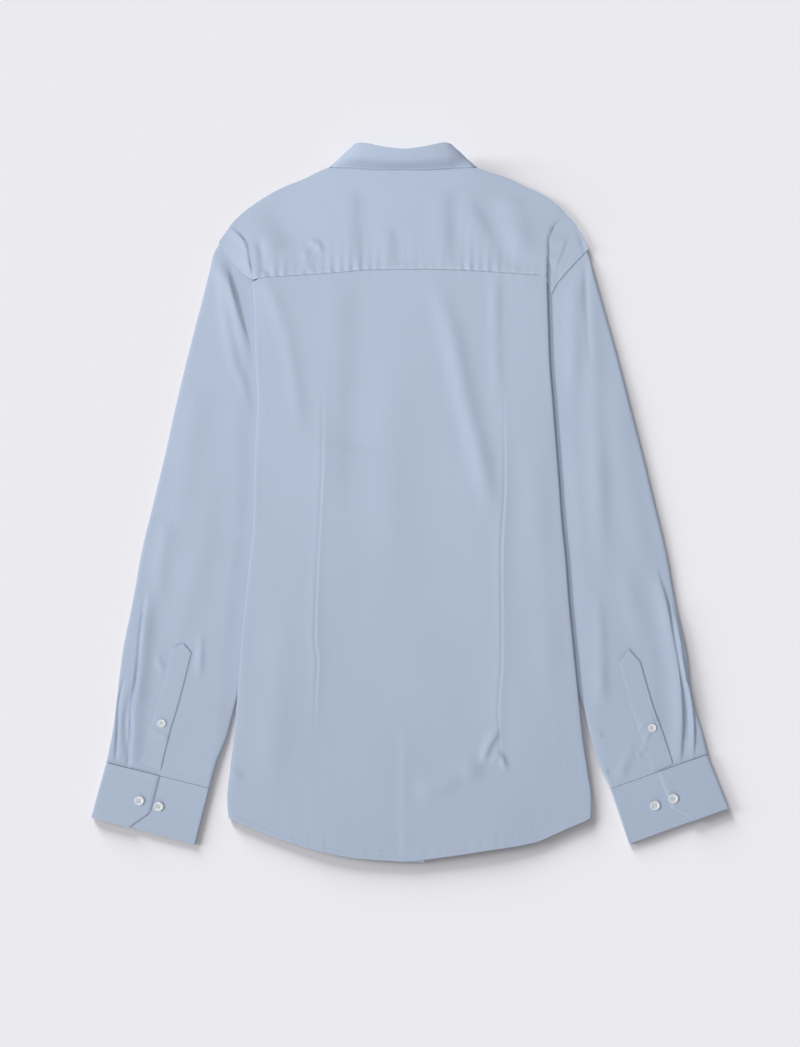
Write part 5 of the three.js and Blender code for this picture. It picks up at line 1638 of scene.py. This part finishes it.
class SHIRT_OT_studio(bpy.types.Operator):
    """Makes the paper floor, the soft light and the camera"""
    bl_idname = "shirt.studio"
    bl_label = "Studio"

    def execute(self, context):
        _, _, studio = settings()
        scene = context.scene
        corners = np.array([(-1, -1, 0), (1, -1, 0), (1, 1, 0), (-1, 1, 0)], float) * FLOOR_HALF
        mesh = mesh_of("studio_floor", corners, np.array([[0, 1, 2, 3]]))
        floor = bpy.data.objects.new("studio_floor", mesh)
        scene.collection.objects.link(floor)
        material, tree, shader = new_material("matt_studio_paper")
        place = add_node(tree, "ShaderNodeTexCoord")
        fibre = add_node(tree, "ShaderNodeTexNoise", {}, {"Scale": 900, "Detail": 2},
                         [(place.outputs["Object"], "Vector")])
        bump = add_node(tree, "ShaderNodeBump", {}, {"Strength": 0.03, "Distance": 0.0002},
                        [(fibre.outputs["Fac"], "Height")])
        tree.links.new(bump.outputs["Normal"], shader.inputs["Normal"])
        shader.inputs["Base Color"].default_value = tuple(studio.floor_colour) + (1,)
        shader.inputs["Roughness"].default_value = 0.95
        shader.inputs["Specular IOR Level"].default_value = 0.1
        mesh.materials.append(material)
        self.light(scene, studio)
        self.camera(scene)
        return {"FINISHED"}

    def light(self, scene, studio):
        """An even fill for everything. A key from the left, a soft side lamp and an overhead lamp light the
        cloth alone, and the paper has lamps of its own that draw the wide soft shadow to the lower right."""
        receivers = {name: bpy.data.collections.new(name) for name in ("lit_cloth", "lit_paper")}
        receivers["lit_paper"].objects.link(bpy.data.objects["studio_floor"])
        for row in SUNS:
            self.sun(scene, row, getattr(studio, row["name"] + "_strength"), receivers[row["lights"]])
        lamp = bpy.data.lights.new("overhead_lamp", "AREA")
        lamp.shape = "DISK"
        lamp.size = OVERHEAD_SIZE
        lamp.energy = studio.overhead_power
        overhead = bpy.data.objects.new("overhead_lamp", lamp)
        scene.collection.objects.link(overhead)
        overhead.location = OVERHEAD_PLACE
        overhead.light_linking.receiver_collection = receivers["lit_cloth"]
        world = bpy.data.worlds.new("even_fill")
        world.use_nodes = True
        sky = world.node_tree.nodes["Background"]
        sky.inputs["Color"].default_value = (1, 1, 1, 1)
        sky.inputs["Strength"].default_value = studio.fill_strength
        scene.world = world
        scene.view_settings.view_transform = "Standard"

    def sun(self, scene, row, strength, receivers):
        """A distant lamp that brings its strength to level paper."""
        lamp = bpy.data.lights.new(row["name"], "SUN")
        lamp.angle = math.radians(row["softness"])
        lamp.energy = strength * math.pi / math.sin(math.radians(row["level"]))
        sun = bpy.data.objects.new(row["name"], lamp)
        scene.collection.objects.link(sun)
        sun.rotation_euler = (math.radians(90 - row["level"]), 0, math.radians(row["heading"] + 90))
        sun.light_linking.receiver_collection = receivers

    def camera(self, scene):
        """Straight down on the shirt, framed as in the photograph."""
        lens = bpy.data.cameras.new("overhead")
        lens.lens = LENS
        lens.sensor_width = SENSOR
        lens.sensor_fit = "AUTO"
        camera = bpy.data.objects.new("overhead", lens)
        scene.collection.objects.link(camera)
        camera.location = (VIEW_CENTRE[0] * MM, VIEW_CENTRE[1] * MM, VIEW_LENGTH * MM * LENS / SENSOR)
        camera.rotation_euler = (0, 0, 0)
        scene.camera = camera


class SHIRT_PT_panel(bpy.types.Panel):
    """Lists the shirt's pieces and settings"""
    bl_idname = "SHIRT_PT_panel"
    bl_label = "Dress shirt"
    bl_space_type = "VIEW_3D"
    bl_region_type = "UI"
    bl_category = "Shirt"

    def draw(self, context):
        for operator in OPERATORS:
            self.layout.operator(operator.bl_idname)
        for group in settings():
            box = self.layout.box()
            for key in type(group).__annotations__:
                box.prop(group, key)


GROUPS = (("shirt_cloth", ShirtCloth), ("shirt_buttons", ShirtButtons), ("shirt_studio", ShirtStudio))
OPERATORS = (
    SHIRT_OT_studio, SHIRT_OT_sleeves, SHIRT_OT_fronts, SHIRT_OT_back, SHIRT_OT_yoke, SHIRT_OT_collar,
    SHIRT_OT_sleeve_plackets, SHIRT_OT_cuffs, SHIRT_OT_buttons,
)


def register():
    for name, group in GROUPS:
        bpy.utils.register_class(group)
        setattr(bpy.types.Scene, name, bpy.props.PointerProperty(type=group))
    for item in OPERATORS + (SHIRT_PT_panel,):
        bpy.utils.register_class(item)


def unregister():
    for item in (SHIRT_PT_panel,) + OPERATORS[::-1]:
        bpy.utils.unregister_class(item)
    for name, group in GROUPS:
        delattr(bpy.types.Scene, name)
        bpy.utils.unregister_class(group)


def main():
    """Builds the whole shirt and its studio."""
    register()
    for make in (bpy.ops.shirt.studio, bpy.ops.shirt.sleeves, bpy.ops.shirt.fronts, bpy.ops.shirt.back,
                 bpy.ops.shirt.yoke, bpy.ops.shirt.collar, bpy.ops.shirt.sleeve_plackets, bpy.ops.shirt.cuffs,
                 bpy.ops.shirt.buttons):
        make()
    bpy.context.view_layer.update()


if __name__ == "__main__":
    main()
